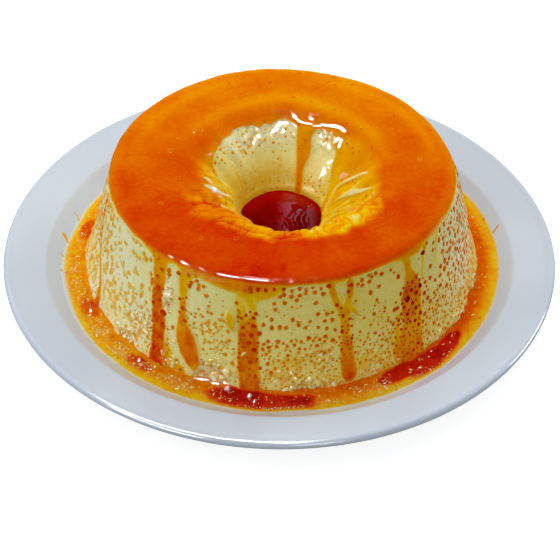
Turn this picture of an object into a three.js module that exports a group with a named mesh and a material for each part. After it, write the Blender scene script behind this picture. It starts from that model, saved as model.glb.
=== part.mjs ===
// Creme caramel turned out of a ring mould onto a round dinner plate, with its caramel.
// Millimetres, +Z up. The origin is the centre of the plate's foot ring, on the table.
import * as THREE from 'three';

// ---------------------------------------------------------------- driving sizes

// Plate
const PLATE_RADIUS = 140;
const LIP_RADIUS = 2.3;
const LIP_CENTRE_HEIGHT = 15.9;
const RIM_INNER_RADIUS = 118.6;
const RIM_INNER_HEIGHT = 15.2;
const FLOOR_RADIUS = 105;
const FLOOR_HEIGHT = 7;
const FOOT_OUTER_RADIUS = 84;
const FOOT_INNER_RADIUS = 77;
const UNDERSIDE_HEIGHT = 3;
const PLATE_SEGMENTS = 72;

// Flan: one turned custard ring, its wall, top, funnel-shaped hole and base
const FLAN_CENTRE = new THREE.Vector2(0.8, 4.2);
const FLAN_SEGMENTS = 112;
const MOUTH_SHIFT = new THREE.Vector2(4.5, 1.5);
const WALL_SWELL = 0.55;
const TOP_SWELL = 0.35;
const FLUTE_DEPTH = 2.6;

// Radius and height of the custard's section, from its foot over the top and down the hole
const SECTION = [
  [100.0, 7.0],
  [100.1, 10.2],
  [98.1, 17.0],
  [95.4, 28.0],
  [92.9, 39.0],
  [90.4, 50.0],
  [88.35, 58.3],
  [87.1, 62.9],
  [85.9, 65.2],
  [83.6, 66.6],
  [78.5, 67.1],
  [60.0, 67.1],
  [51.5, 65.9],
  [45.7, 63.3],
  [40.5, 59.3],
  [34.5, 53.7],
  [28.4, 47.3],
  [23.8, 41.0],
  [20.6, 34.5],
  [16.0, 7.0],
];

// Rows of the section that the caramel layer follows, between its two wavy edges
const LAYER_FIRST_ROW = 7;
const LAYER_LAST_ROW = 13;
const LAYER_GAP = 0.28;
const LAYER_EDGE_GAP = 0.6;
const LAYER_THICKNESS = 1.15;
const LAYER_EDGE_THICKNESS = 0.7;

// Caramel
const POOL_LEVEL = 10.2;
const POOL_EDGE_RADIUS = 110.9;
const POOL_GAP = 0.46;
const HOLE_POOL_LEVEL = 36.8;
const HOLE_POOL_GAP = 0.35;
const HOLE_POOL_SEGMENTS = 56;

// Runs of caramel down the wall: angle from the front (degrees, to the right),
// half width (degrees) and the height at which each one ends
const RUNS = [
  { at: -76, halfWidth: 3.4, endHeight: 17 },
  { at: -39, halfWidth: 5.4, endHeight: 14 },
  { at: -29.5, halfWidth: 4.6, endHeight: 19 },
  { at: -8, halfWidth: 5.2, endHeight: 12.5 },
  { at: 20, halfWidth: 5.2, endHeight: 15 },
  { at: 43, halfWidth: 7.5, endHeight: 13 },
  { at: 52, halfWidth: 3.6, endHeight: 48 },
  { at: 97, halfWidth: 4.4, endHeight: 30 },
  { at: 128, halfWidth: 5.6, endHeight: 14 },
  { at: 161, halfWidth: 4.2, endHeight: 40 },
  { at: -122, halfWidth: 6.0, endHeight: 16 },
  { at: -151, halfWidth: 4.2, endHeight: 34 },
];

// Places along the foot of the wall where custard has torn away
const TEARS = [
  { at: -20, halfWidth: 6.5, height: 15, reach: 8, depth: 3.6 },
  { at: -49, halfWidth: 4.2, height: 13.5, reach: 6, depth: 2.2 },
  { at: 7.5, halfWidth: 6, height: 11, reach: 4.5, depth: 1.5 },
  { at: 74, halfWidth: 6, height: 12, reach: 6, depth: 1.8 },
  { at: 148, halfWidth: 8, height: 13, reach: 7, depth: 2.4 },
  { at: -136, halfWidth: 6, height: 12, reach: 5, depth: 1.8 },
];

// Folds where the custard is drawn down into the hole: angle (degrees from +X),
// half width (degrees) and how far each one stands out (+) or in (-), as a share
const FLUTES = [
  { at: 166, halfWidth: 13, share: -1.0 },
  { at: 189, halfWidth: 10, share: 1.0 },
  { at: 207, halfWidth: 9, share: -0.8 },
  { at: 140, halfWidth: 9, share: 0.75 },
  { at: 24, halfWidth: 13, share: -0.9 },
  { at: 1, halfWidth: 10, share: 0.95 },
  { at: -18, halfWidth: 9, share: -0.75 },
  { at: -52, halfWidth: 12, share: 0.5 },
  { at: -96, halfWidth: 13, share: -0.5 },
  { at: -128, halfWidth: 10, share: 0.45 },
  { at: 78, halfWidth: 12, share: 0.4 },
];

// ---------------------------------------------------------------- small helpers

const section = new THREE.SplineCurve(SECTION.map(([r, z]) => new THREE.Vector2(r, z)));
const LAST_ROW = SECTION.length - 1;

// Shortest difference between two angles in degrees
function turn(a, b) {
  return ((((a - b) % 360) + 540) % 360) - 180;
}

// Rounded bump, 1 at its middle and 0 beyond its half width
function bump(distance, halfWidth) {
  const x = Math.min(1, Math.abs(distance) / halfWidth);
  return 0.5 + 0.5 * Math.cos(Math.PI * x);
}

// Angle of a segment's edge, in radians from +X
function segmentAngle(i, segments) {
  return ((i % segments) / segments) * 2 * Math.PI;
}

// Closed ring of revolution whose corners are then set one by one by a function
// of the segment's angle and the row of the section
function ringGeometry(rows, segments, place) {
  const outline = [];
  for (let j = 0; j <= rows; j++) {
    const a = (j / rows) * 2 * Math.PI;
    outline.push(new THREE.Vector2(10 + Math.cos(a), Math.sin(a)));
  }
  const geometry = new THREE.LatheGeometry(outline, segments);
  const position = geometry.attributes.position;
  for (let i = 0; i <= segments; i++) {
    const angle = segmentAngle(i, segments);
    for (let j = 0; j <= rows; j++) {
      const corner = place(angle, j % rows);
      position.setXYZ(i * (rows + 1) + j, corner.x, corner.y, corner.z);
    }
  }
  geometry.computeVertexNormals();
  return geometry;
}

// Turned piece from a section of radius and height, standing along +Z
function turnedGeometry(outline, segments) {
  const geometry = new THREE.LatheGeometry(outline, segments);
  geometry.rotateX(Math.PI / 2);
  return geometry;
}

// ---------------------------------------------------------------- the custard's surface

// Slow unevenness of the wall and the top, out along the surface
function swell(angle, row) {
  const wall = WALL_SWELL * (Math.sin(3 * angle + 0.7 + 0.25 * row) + 0.6 * Math.sin(7 * angle - 1.1 - 0.4 * row));
  const top = TOP_SWELL * (Math.sin(2 * angle + 1.9) + 0.7 * Math.sin(5 * angle + 0.5 * row));
  const onTop = THREE.MathUtils.smoothstep(row, 7, 10);
  return THREE.MathUtils.lerp(wall, top, onTop);
}

// Depth torn out of the wall near its foot
function tearDepth(angle, height) {
  const front = THREE.MathUtils.radToDeg(angle) + 90;
  let depth = 0;
  for (const tear of TEARS) {
    const across = bump(turn(front, tear.at), tear.halfWidth);
    depth += tear.depth * across * bump(height - tear.height, tear.reach);
  }
  return depth;
}

// How far the folds stand out of the funnel at an angle
function flute(angle, row) {
  const weight = bump(row - 14.2, 3.2);
  const degrees = THREE.MathUtils.radToDeg(angle);
  let out = 0;
  for (const fold of FLUTES) {
    out += fold.share * bump(turn(degrees, fold.at), fold.halfWidth);
  }
  return FLUTE_DEPTH * weight * out;
}

// Point on the custard's surface, or lifted off it, at an angle and a row of the section
function custardPoint(angle, row, lift = 0) {
  const t = row / LAST_ROW;
  const point = section.getPoint(t);
  const tangent = section.getTangent(t);
  let out = lift;
  const clearOfFoot = Math.min(1, row) * Math.min(1, LAST_ROW - row);
  out += clearOfFoot * (swell(angle, row) + flute(angle, row) - tearDepth(angle, point.y));
  const radius = point.x + tangent.y * out;
  const height = Math.max(point.y - tangent.x * out, FLOOR_HEIGHT);
  const shift = THREE.MathUtils.smoothstep(row, 8.5, 14) * (1 - THREE.MathUtils.smoothstep(row, 15, 18));
  return new THREE.Vector3(
    FLAN_CENTRE.x + radius * Math.cos(angle) + MOUTH_SHIFT.x * shift,
    FLAN_CENTRE.y + radius * Math.sin(angle) + MOUTH_SHIFT.y * shift,
    height,
  );
}

// ---------------------------------------------------------------- materials

function finish(name, color, roughness) {
  return new THREE.MeshStandardMaterial({ name, color, roughness, metalness: 0 });
}

const glaze = finish('white_glaze', 0xdfe4e8, 0.14);
const custard = finish('custard', 0xdcd096, 0.5);
const caramel = finish('caramel', 0xd4560a, 0.1);
const darkCaramel = finish('dark_caramel', 0xa63206, 0.08);

// ---------------------------------------------------------------- plate

// Height of the plate's upper surface, from its flat floor over the well's wall to the rim
function wellHeight(radius) {
  const rise = THREE.MathUtils.clamp((radius - FLOOR_RADIUS) / (RIM_INNER_RADIUS - FLOOR_RADIUS), 0, 1);
  const curve = Math.pow(rise, 1.75) * (1.62 - 0.62 * rise);
  return FLOOR_HEIGHT + (RIM_INNER_HEIGHT - FLOOR_HEIGHT) * curve;
}

function plate() {
  const outline = [new THREE.Vector2(0, UNDERSIDE_HEIGHT)];
  outline.push(new THREE.Vector2(FOOT_INNER_RADIUS - 2, UNDERSIDE_HEIGHT));
  outline.push(new THREE.Vector2(FOOT_INNER_RADIUS, 0));
  outline.push(new THREE.Vector2(FOOT_OUTER_RADIUS, 0));
  outline.push(new THREE.Vector2(FOOT_OUTER_RADIUS + 3, 2.6));
  outline.push(new THREE.Vector2(108, 4.4));
  outline.push(new THREE.Vector2(124, 10.6));
  const lip = new THREE.Vector2(PLATE_RADIUS - LIP_RADIUS, LIP_CENTRE_HEIGHT);
  for (const degrees of [-70, -35, 0, 40, 80, 110]) {
    const a = THREE.MathUtils.degToRad(degrees);
    outline.push(new THREE.Vector2(lip.x + LIP_RADIUS * Math.cos(a), lip.y + LIP_RADIUS * Math.sin(a)));
  }
  outline.push(new THREE.Vector2(128, 16.6));
  outline.push(new THREE.Vector2(RIM_INNER_RADIUS + 1.4, RIM_INNER_HEIGHT + 0.3));
  for (const radius of [117.4, 114.6, 111.4, 108.2, FLOOR_RADIUS]) {
    outline.push(new THREE.Vector2(radius, wellHeight(radius)));
  }
  outline.push(new THREE.Vector2(0, FLOOR_HEIGHT));
  const mesh = new THREE.Mesh(turnedGeometry(outline, PLATE_SEGMENTS), glaze);
  mesh.name = 'plate';
  return mesh;
}

// ---------------------------------------------------------------- flan

function flan() {
  const geometry = ringGeometry(SECTION.length, FLAN_SEGMENTS, (angle, j) => custardPoint(angle, j));
  const mesh = new THREE.Mesh(geometry, custard);
  mesh.name = 'flan';
  return mesh;
}

// Row of the section at a height on the wall
function wallRow(height) {
  for (let row = 1; row < LAYER_FIRST_ROW; row++) {
    const [, low] = SECTION[row];
    const [, high] = SECTION[row + 1];
    if (height <= high) {
      return row + Math.max(0, (height - low) / (high - low));
    }
  }
  return LAYER_FIRST_ROW;
}

// Row at which the caramel layer's outer edge ends, lower where caramel has run
function layerOuterRow(angle) {
  const front = THREE.MathUtils.radToDeg(angle) + 90;
  const wave = 0.28 * Math.sin(5 * angle + 0.4) + 0.2 * Math.sin(11 * angle + 2.2);
  let row = 6.55 + wave;
  for (const run of RUNS) {
    const end = wallRow(run.endHeight);
    const share = Math.pow(bump(turn(front, run.at), run.halfWidth), 0.32);
    row = Math.min(row, THREE.MathUtils.lerp(6.55 + wave, end, share));
  }
  return row;
}

// Row at which the layer's inner edge ends, a little way down the funnel
function layerInnerRow(angle) {
  return 13.68 + 0.3 * Math.sin(4 * angle + 1.3);
}

// Rows of the layer from its outer edge to its inner edge
function layerRow(angle, k) {
  const count = LAYER_LAST_ROW - LAYER_FIRST_ROW;
  const outer = layerOuterRow(angle);
  if (k === 0) {
    return outer;
  }
  if (k === 1) {
    return outer < 6 ? 6 : THREE.MathUtils.lerp(outer, LAYER_FIRST_ROW, 0.5);
  }
  if (k <= count + 2) {
    return LAYER_FIRST_ROW + k - 2;
  }
  return layerInnerRow(angle);
}

function caramelTop() {
  const last = LAYER_LAST_ROW - LAYER_FIRST_ROW + 3;
  const rows = 2 * (last + 1);
  const geometry = ringGeometry(rows, FLAN_SEGMENTS, (angle, j) => {
    const above = j <= last;
    const k = above ? j : rows - 1 - j;
    const atEdge = k === 0 || k === last;
    const thickness = atEdge ? LAYER_EDGE_THICKNESS : LAYER_THICKNESS;
    const gap = k <= 1 ? LAYER_EDGE_GAP : LAYER_GAP;
    return custardPoint(angle, layerRow(angle, k), above ? gap + thickness : gap);
  });
  const mesh = new THREE.Mesh(geometry, caramel);
  mesh.name = 'caramel_top';
  return mesh;
}

// ---------------------------------------------------------------- caramel round the foot and in the hole

// Radius of the pool's outer edge, which wanders a little up the well's wall
function poolEdge(angle) {
  const front = THREE.MathUtils.radToDeg(angle) + 90;
  return POOL_EDGE_RADIUS + 1.2 * bump(turn(front, -60), 60) + 0.5 * Math.sin(4 * angle + 0.8) + 0.3 * Math.sin(9 * angle);
}

function caramelPool() {
  const around = (angle, radius, height) =>
    new THREE.Vector3(radius * Math.cos(angle), radius * Math.sin(angle), height);
  const rows = 7;
  const geometry = ringGeometry(rows, FLAN_SEGMENTS, (angle, j) => {
    const wall = custardPoint(angle, 0, POOL_GAP);
    const inner = custardPoint(angle, 1, POOL_GAP);
    const innerAngle = Math.atan2(inner.y, inner.x);
    const innerRadius = Math.hypot(inner.x, inner.y);
    const edge = poolEdge(innerAngle);
    const rim = wellHeight(edge);
    switch (j) {
      case 0:
        return around(innerAngle, FLOOR_RADIUS + 2.2, wellHeight(FLOOR_RADIUS + 2.2) + 0.25);
      case 1:
        return around(innerAngle, edge + 0.2, wellHeight(edge + 0.2) + 0.3);
      case 2:
        return around(innerAngle, edge, rim + 0.75);
      case 3:
        return around(innerAngle, edge - 0.9, Math.max(POOL_LEVEL, rim + 0.75));
      case 4:
        return around(innerAngle, (innerRadius + edge) / 2, POOL_LEVEL + 0.05);
      case 5:
        return new THREE.Vector3(inner.x, inner.y, POOL_LEVEL + 0.1);
      default:
        return new THREE.Vector3(wall.x, wall.y, FLOOR_HEIGHT);
    }
  });
  const mesh = new THREE.Mesh(geometry, darkCaramel);
  mesh.name = 'caramel_pool';
  return mesh;
}

function caramelInHole() {
  const row = LAST_ROW - 1;
  const [topRadius, topHeight] = SECTION[row];
  const [footRadius] = SECTION[LAST_ROW];
  const slope = (topRadius - footRadius) / (topHeight - FLOOR_HEIGHT);
  const outline = [
    new THREE.Vector2(0, FLOOR_HEIGHT),
    new THREE.Vector2(footRadius - HOLE_POOL_GAP - WALL_SWELL, FLOOR_HEIGHT),
    new THREE.Vector2(topRadius - HOLE_POOL_GAP - WALL_SWELL - slope, topHeight - 1),
    new THREE.Vector2(topRadius - HOLE_POOL_GAP - WALL_SWELL + 0.7, HOLE_POOL_LEVEL),
    new THREE.Vector2(topRadius - 5, HOLE_POOL_LEVEL - 0.35),
    new THREE.Vector2(0, HOLE_POOL_LEVEL - 0.4),
  ];
  const mesh = new THREE.Mesh(turnedGeometry(outline, HOLE_POOL_SEGMENTS), darkCaramel);
  mesh.name = 'caramel_in_hole';
  mesh.position.set(FLAN_CENTRE.x, FLAN_CENTRE.y, 0);
  return mesh;
}

// ---------------------------------------------------------------- the whole dish

const dish = new THREE.Group();
dish.name = 'creme_caramel';
dish.add(plate(), flan(), caramelTop(), caramelPool(), caramelInHole());

export default dish;
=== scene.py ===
"""A creme caramel turned out of a ring mould onto a white dinner plate.

The custard ring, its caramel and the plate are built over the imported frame. Lengths
are in millimetres where nothing else is said, and the meshes are written in metres.
Angles called "front" are degrees round the ring from its front (-Y), positive to the
right.
"""

import logging
import math
from dataclasses import dataclass
from enum import Enum
from typing import Sequence

import bmesh
import bpy
import numpy as np
from mathutils import Matrix, Vector
from mathutils.kdtree import KDTree


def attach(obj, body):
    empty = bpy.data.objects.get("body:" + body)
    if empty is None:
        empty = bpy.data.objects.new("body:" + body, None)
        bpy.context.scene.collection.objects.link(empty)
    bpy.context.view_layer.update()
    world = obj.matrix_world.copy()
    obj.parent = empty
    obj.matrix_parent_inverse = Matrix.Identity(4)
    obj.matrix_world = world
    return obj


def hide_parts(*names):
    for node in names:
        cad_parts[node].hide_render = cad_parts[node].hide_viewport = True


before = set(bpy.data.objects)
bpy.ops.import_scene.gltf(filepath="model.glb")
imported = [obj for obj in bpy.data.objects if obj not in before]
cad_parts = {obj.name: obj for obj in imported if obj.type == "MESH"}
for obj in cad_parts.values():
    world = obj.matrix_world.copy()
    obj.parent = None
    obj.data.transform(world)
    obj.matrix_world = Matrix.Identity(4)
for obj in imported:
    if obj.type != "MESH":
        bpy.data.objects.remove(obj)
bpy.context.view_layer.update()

logging.basicConfig(level=logging.INFO, format="%(message)s")
log = logging.getLogger("creme_caramel")

MM = 0.001
Array = np.ndarray
Table = tuple[tuple[float, ...], ...]
Tables = tuple[Table, ...]
Piece = bpy.types.Object
Material = bpy.types.Material
Tree = bpy.types.NodeTree
Node = bpy.types.Node
Socket = bpy.types.NodeSocket

# Middle radius of the custard's wall
WALL_RADIUS = 93.0
# How much closer together the columns of a grid stand at the front
FRONT_CROWDING = 0.42
# How far red, green and blue light go under a surface, as shares of its radius
GLOW_REACH = (1.0, 0.7, 0.35)
# Numbers that the seeded noise is drawn with
CELL_PRIMES = (73856093, 19349663, 83492791)
SEED_PRIME = 7919
OCTAVE_PRIME = 104729
FIRST_MIXER = 2246822519
SECOND_MIXER = 3266489917
WORD = 0xFFFFFFFF


# ---------------------------------------------------------------- numbers


def turn(a: Array, b: float) -> Array:
    """Return how far bearings a lie from bearing b, between -180 and 180 degrees."""
    return (a - b + 180.0) % 360.0 - 180.0


def bump(distance: Array, half_width: float) -> Array:
    """Return a rounded bump, 1 in its middle and 0 beyond its half width."""
    return 0.5 + 0.5 * np.cos(np.pi * np.minimum(1.0, np.abs(distance) / half_width))


def smooth(x: Array, low: float, high: float) -> Array:
    """Return a smooth step from 0 at low to 1 at high, which is below low for a falling step."""
    t = np.clip((x - low) / (high - low), 0.0, 1.0)
    return t * t * (3.0 - 2.0 * t)


def read(table: Table, places: Array) -> Array:
    """Return the value that a table of (place, value) has at each place."""
    at, values = np.array(table).T
    return np.interp(places, at, values)


def circled(angle: Array, radius: Array | float, height: Array | float) -> Array:
    """Return points round the axis, from their angles in radians, distances and heights."""
    x, y = np.cos(angle) * radius, np.sin(angle) * radius
    return np.stack([x, y, np.broadcast_to(height, x.shape)], axis=-1)


def drawn_number(cell: Array, salt: int) -> Array:
    """Return a whole number drawn for each cell of space."""
    x, y, z = (cell[:, k] * prime for k, prime in enumerate(CELL_PRIMES))
    return x ^ y ^ z ^ salt


def soft_noise(points: Array, size: float, seed: int, octaves: int = 1) -> Array:
    """Return smooth seeded noise in space.

    Args:
        points: Places in millimetres, one a row.
        size: Width of the noise's largest waves.
        seed: Which noise to draw.
        octaves: How many finer layers are added.

    Returns:
        Values between about -1 and 1.
    """
    total = np.zeros(len(points))
    weight, norm = 1.0, 0.0
    for octave in range(octaves):
        p = points / (size * 0.5**octave) + 31.7 * (octave + 1)
        cell = np.floor(p).astype(np.int64)
        f = p - cell
        f = f * f * (3.0 - 2.0 * f)
        value = np.zeros(len(points))
        for corner in range(8):
            step = np.array([corner & 1, corner >> 1 & 1, corner >> 2 & 1])
            h = drawn_number((cell + step) & 0xFFFF, seed * SEED_PRIME + octave * OCTAVE_PRIME) & WORD
            h = ((h ^ (h >> 15)) * FIRST_MIXER) & WORD
            h = ((h ^ (h >> 13)) * SECOND_MIXER) & WORD
            share = np.prod(np.where(step == 1, f, 1.0 - f), axis=1)
            value += share * (((h ^ (h >> 16)) & 0xFFFF) / 32767.5 - 1.0)
        total += weight * value
        norm += weight
        weight *= 0.5
    return total / norm


def turned(share: Array) -> Array:
    """Return the angle at each share of the way round, closer together at the front."""
    t = share * 2.0 * np.pi
    return t - 0.5 * np.pi - FRONT_CROWDING * np.sin(t)


def lumps(points: Array, size: float, seed: int) -> Array:
    """Return seeded round lumps in space, like crumbs pressed together.

    Args:
        points: Places in millimetres, one a row.
        size: Usual width of a lump.
        seed: Which lumps to draw.

    Returns:
        Heights from 0 in the gaps to 1 on the lumps.
    """
    p = points / size
    cell = np.floor(p).astype(np.int64)
    nearest = np.full(len(points), 9.0)
    for corner in range(27):
        c = cell + np.array([corner % 3 - 1, corner // 3 % 3 - 1, corner // 9 - 1])
        h = drawn_number(c, seed * SEED_PRIME)
        away = np.zeros(len(points))
        for k in range(3):
            h = ((h & WORD) ^ ((h & WORD) >> 13)) * SECOND_MIXER & WORD
            away += (c[:, k] + ((h >> 8) & 0xFFFF) / 65535.0 - p[:, k]) ** 2
        nearest = np.minimum(nearest, away)
    return np.clip(1.0 - nearest / 0.75, 0.0, 1.0)


def eased(path: Sequence[Sequence[float]]) -> Array:
    """Return a path with its corners rounded.

    Args:
        path: Its points, each with the values that go with it.

    Returns:
        Four points for each one given.
    """
    rows = np.array(path, float)
    at = np.arange(len(rows))
    fine = np.linspace(0.0, at[-1], 4 * at[-1] + 1)
    mid = np.stack([np.interp(fine, at, column) for column in rows.T], axis=1)
    for _ in range(3):
        mid[1:-1] = 0.25 * mid[:-2] + 0.5 * mid[1:-1] + 0.25 * mid[2:]
    return mid


def follow(
    path: Sequence[Sequence[float]], u: Array, v: Array, mm_u: Array | float, mm_v: float
) -> tuple[Array, Array]:
    """Return how far inside a ribbon each place is.

    Args:
        path: The ribbon's points, each (bearing, level, half width in millimetres, values).
        u: Bearings of the places, in degrees.
        v: Levels of the places.
        mm_u: Millimetres in a degree at each place.
        mm_v: Millimetres in one level.

    Returns:
        Distances in millimetres, above 0 inside, and the ribbon's values there.
    """
    points = eased(path)
    best = np.full(len(u), -50.0)
    values = np.zeros((len(u), points.shape[1] - 3))
    for a, b in zip(points, points[1:]):
        ax, ay = turn(a[0], u) * mm_u, (a[1] - v) * mm_v
        dx, dy = turn(b[0], a[0]) * mm_u, (b[1] - a[1]) * mm_v
        t = np.clip(-(ax * dx + ay * dy) / np.maximum(dx * dx + dy * dy, 1e-6), 0.0, 1.0)
        inside = a[2] + (b[2] - a[2]) * t - np.hypot(ax + t * dx, ay + t * dy)
        nearer = inside > best
        best = np.where(nearer, inside, best)
        values = np.where(nearer[:, None], a[3:] + (b[3:] - a[3:]) * t[:, None], values)
    return best, values


# ---------------------------------------------------------------- the hole


@dataclass(frozen=True)
class Funnel:
    """What the caramel does in the ring's hole, by angle from +X and by row.

    Attributes:
        lip: Where the film ends at the back, (angle, row).
        left: Left side of the bare custard, (row, angle).
        right: Right side of the bare custard, (row, angle).
        streams: Caramel that runs down the back, (angle, row, half width, depth).
        creases: Folds of film, (angle, row, half width, height, bareness).
    """

    lip: Table = (
        (44, 14.3), (53, 14.1), (61.6, 13.75), (70, 13.7), (76, 13.95), (83.5, 13.85), (90.5, 13.45),
        (93.7, 13.1), (99, 13.3), (106, 13.45), (113.5, 13.4), (119.6, 13.0), (127, 13.0), (138, 13.3),
        (147, 13.5), (156, 13.5),
    )
    left: Table = (
        (13.0, 150), (13.5, 155), (14.1, 162), (15.0, 169), (16.0, 173), (17.0, 173), (18.0, 170),
        (19.0, 168),
    )
    right: Table = (
        (13.5, 62), (14.26, 58.4), (14.72, 52), (15.7, 46.5), (16.4, 35.5), (17.2, 26), (17.8, 19.5),
        (19.0, 12),
    )
    streams: Tables = (
        (
            (78, 13.2, 6.5, 0.36), (80.5, 14.2, 4.3, 0.36), (78.8, 15.1, 4.6, 0.38),
            (77.8, 15.8, 2.9, 0.42), (76.8, 16.3, 1.9, 0.45), (70.5, 17.1, 2.0, 0.48),
            (66, 18.2, 2.4, 0.48),
        ),
    )
    creases: Tables = (
        (
            (10, 14.1, 0.5, 0.3, 0.8), (14, 14.6, 1.1, 0.9, 1.0), (22, 15.4, 1.3, 1.1, 1.0),
            (27, 16.2, 0.8, 0.9, 1.0), (14, 17.0, 0.9, 0.7, 1.0), (-2, 17.7, 0.7, 0.4, 1.0),
        ),
        (
            (-10.5, 13.8, 0.5, 0.5, 0.7), (-8, 14.6, 1.1, 1.0, 0.9), (-4, 15.4, 1.5, 1.1, 1.0),
            (6, 16.6, 0.6, 0.5, 0.7),
        ),
        ((-23, 14.1, 0.9, 0.8, 0.25), (-19, 15.4, 1.3, 0.9, 0.3), (-10, 16.8, 0.8, 0.4, 0.2)),
        ((-37, 13.7, 1.0, 0.7, 0.1), (-31, 14.8, 1.4, 0.9, 0.2), (-24, 16.4, 0.8, 0.5, 0.1)),
        ((169, 14.0, 0.5, 0.4, 0.6), (172, 14.3, 1.0, 0.8, 1.0), (174, 14.7, 0.5, 0.4, 0.7)),
        ((188, 13.1, 0.5, 0.4, 0.6), (190, 13.5, 1.0, 0.9, 1.0), (192, 13.85, 0.4, 0.4, 0.6)),
        (
            (195, 13.2, 0.7, 0.5, 0.7), (195.5, 13.8, 1.2, 1.0, 1.0), (194, 14.5, 0.6, 0.6, 0.8),
            (193, 15.6, 0.6, 0.8, 0.3),
        ),
        ((206, 14.3, 0.6, 0.5, 0.7), (206, 14.8, 0.9, 0.8, 1.0), (206, 15.1, 0.4, 0.4, 0.6)),
        ((205, 13.5, 0.6, 0.5, 0.0), (222, 13.2, 0.9, 0.7, 0.0), (240, 12.9, 0.7, 0.5, 0.0)),
        ((212, 14.4, 0.8, 0.7, 0.1), (232, 14.0, 0.9, 0.8, 0.1), (250, 13.7, 0.6, 0.5, 0.0)),
        (
            (262, 13.3, 0.6, 0.5, 0.0), (282, 13.1, 0.9, 0.7, 0.0), (300, 13.4, 0.9, 0.7, 0.1),
            (318, 13.9, 0.6, 0.5, 0.0),
        ),
        ((-58, 12.9, 0.6, 0.5, 0.0), (-44, 13.3, 0.9, 0.7, 0.0), (-34, 13.9, 0.6, 0.5, 0.1)),
    )
    mm_per_row: float = 7.7

    def inside(self, degrees: Array, row: Array, radius: Array) -> Array:
        """Return how far inside the film each place of the hole is.

        Args:
            degrees: Angles from +X.
            row: Rows of the section.
            radius: Distances from the ring's axis.

        Returns:
            Distances in millimetres.
        """
        mm = np.radians(radius)
        top = (read(self.lip, turn(degrees, 100.0) + 100.0) - row) * self.mm_per_row
        on_left = turn(degrees, 0.0) % 360.0 - read(self.left, row)
        on_right = read(self.right, row) - turn(degrees, 0.0)
        away = turn(degrees, 100.0)
        side = np.where(away > 0, on_left, on_right) * mm
        side = np.where(np.abs(away) > 150.0, 30.0, side)
        return np.maximum(np.maximum(top, side), -20.0)

    def folds(self, degrees: Array, row: Array, radius: Array) -> tuple[Array, Array]:
        """Return how far the creases stand out, and how bare they are.

        Args:
            degrees: Angles from +X.
            row: Rows of the section.
            radius: Distances from the ring's axis.

        Returns:
            Heights in millimetres, and bareness between 0 and 1.
        """
        height, bare = np.zeros(len(row)), np.zeros(len(row))
        for crease in self.creases:
            inside, values = follow(crease, degrees, row, np.radians(radius), self.mm_per_row)
            near = np.clip(inside / 0.9 + 0.9, 0.0, 1.0)
            height = np.maximum(height, values[:, 0] * near * near * (3 - 2 * near))
            bare = np.maximum(bare, values[:, 1] * smooth(inside, -0.35, 0.45))
        return height, bare


HOLE = Funnel()


# ---------------------------------------------------------------- the custard's form


@dataclass(frozen=True)
class Fold:
    """One bump round the ring.

    Attributes:
        at: Bearing of its middle, in degrees.
        half_width: Half its width, in degrees.
        share: How far it stands out (+) or in (-), as a share of the full depth.
    """

    at: float
    half_width: float
    share: float


@dataclass(frozen=True)
class Tear:
    """A place at the foot of the wall where custard has torn away.

    Attributes:
        at: Bearing from the front, in degrees.
        half_width: Half its width, in degrees.
        height: Height of its middle.
        reach: How far it reaches above and below its middle.
        depth: How deep it is.
    """

    at: float
    half_width: float
    height: float
    reach: float
    depth: float


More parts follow.
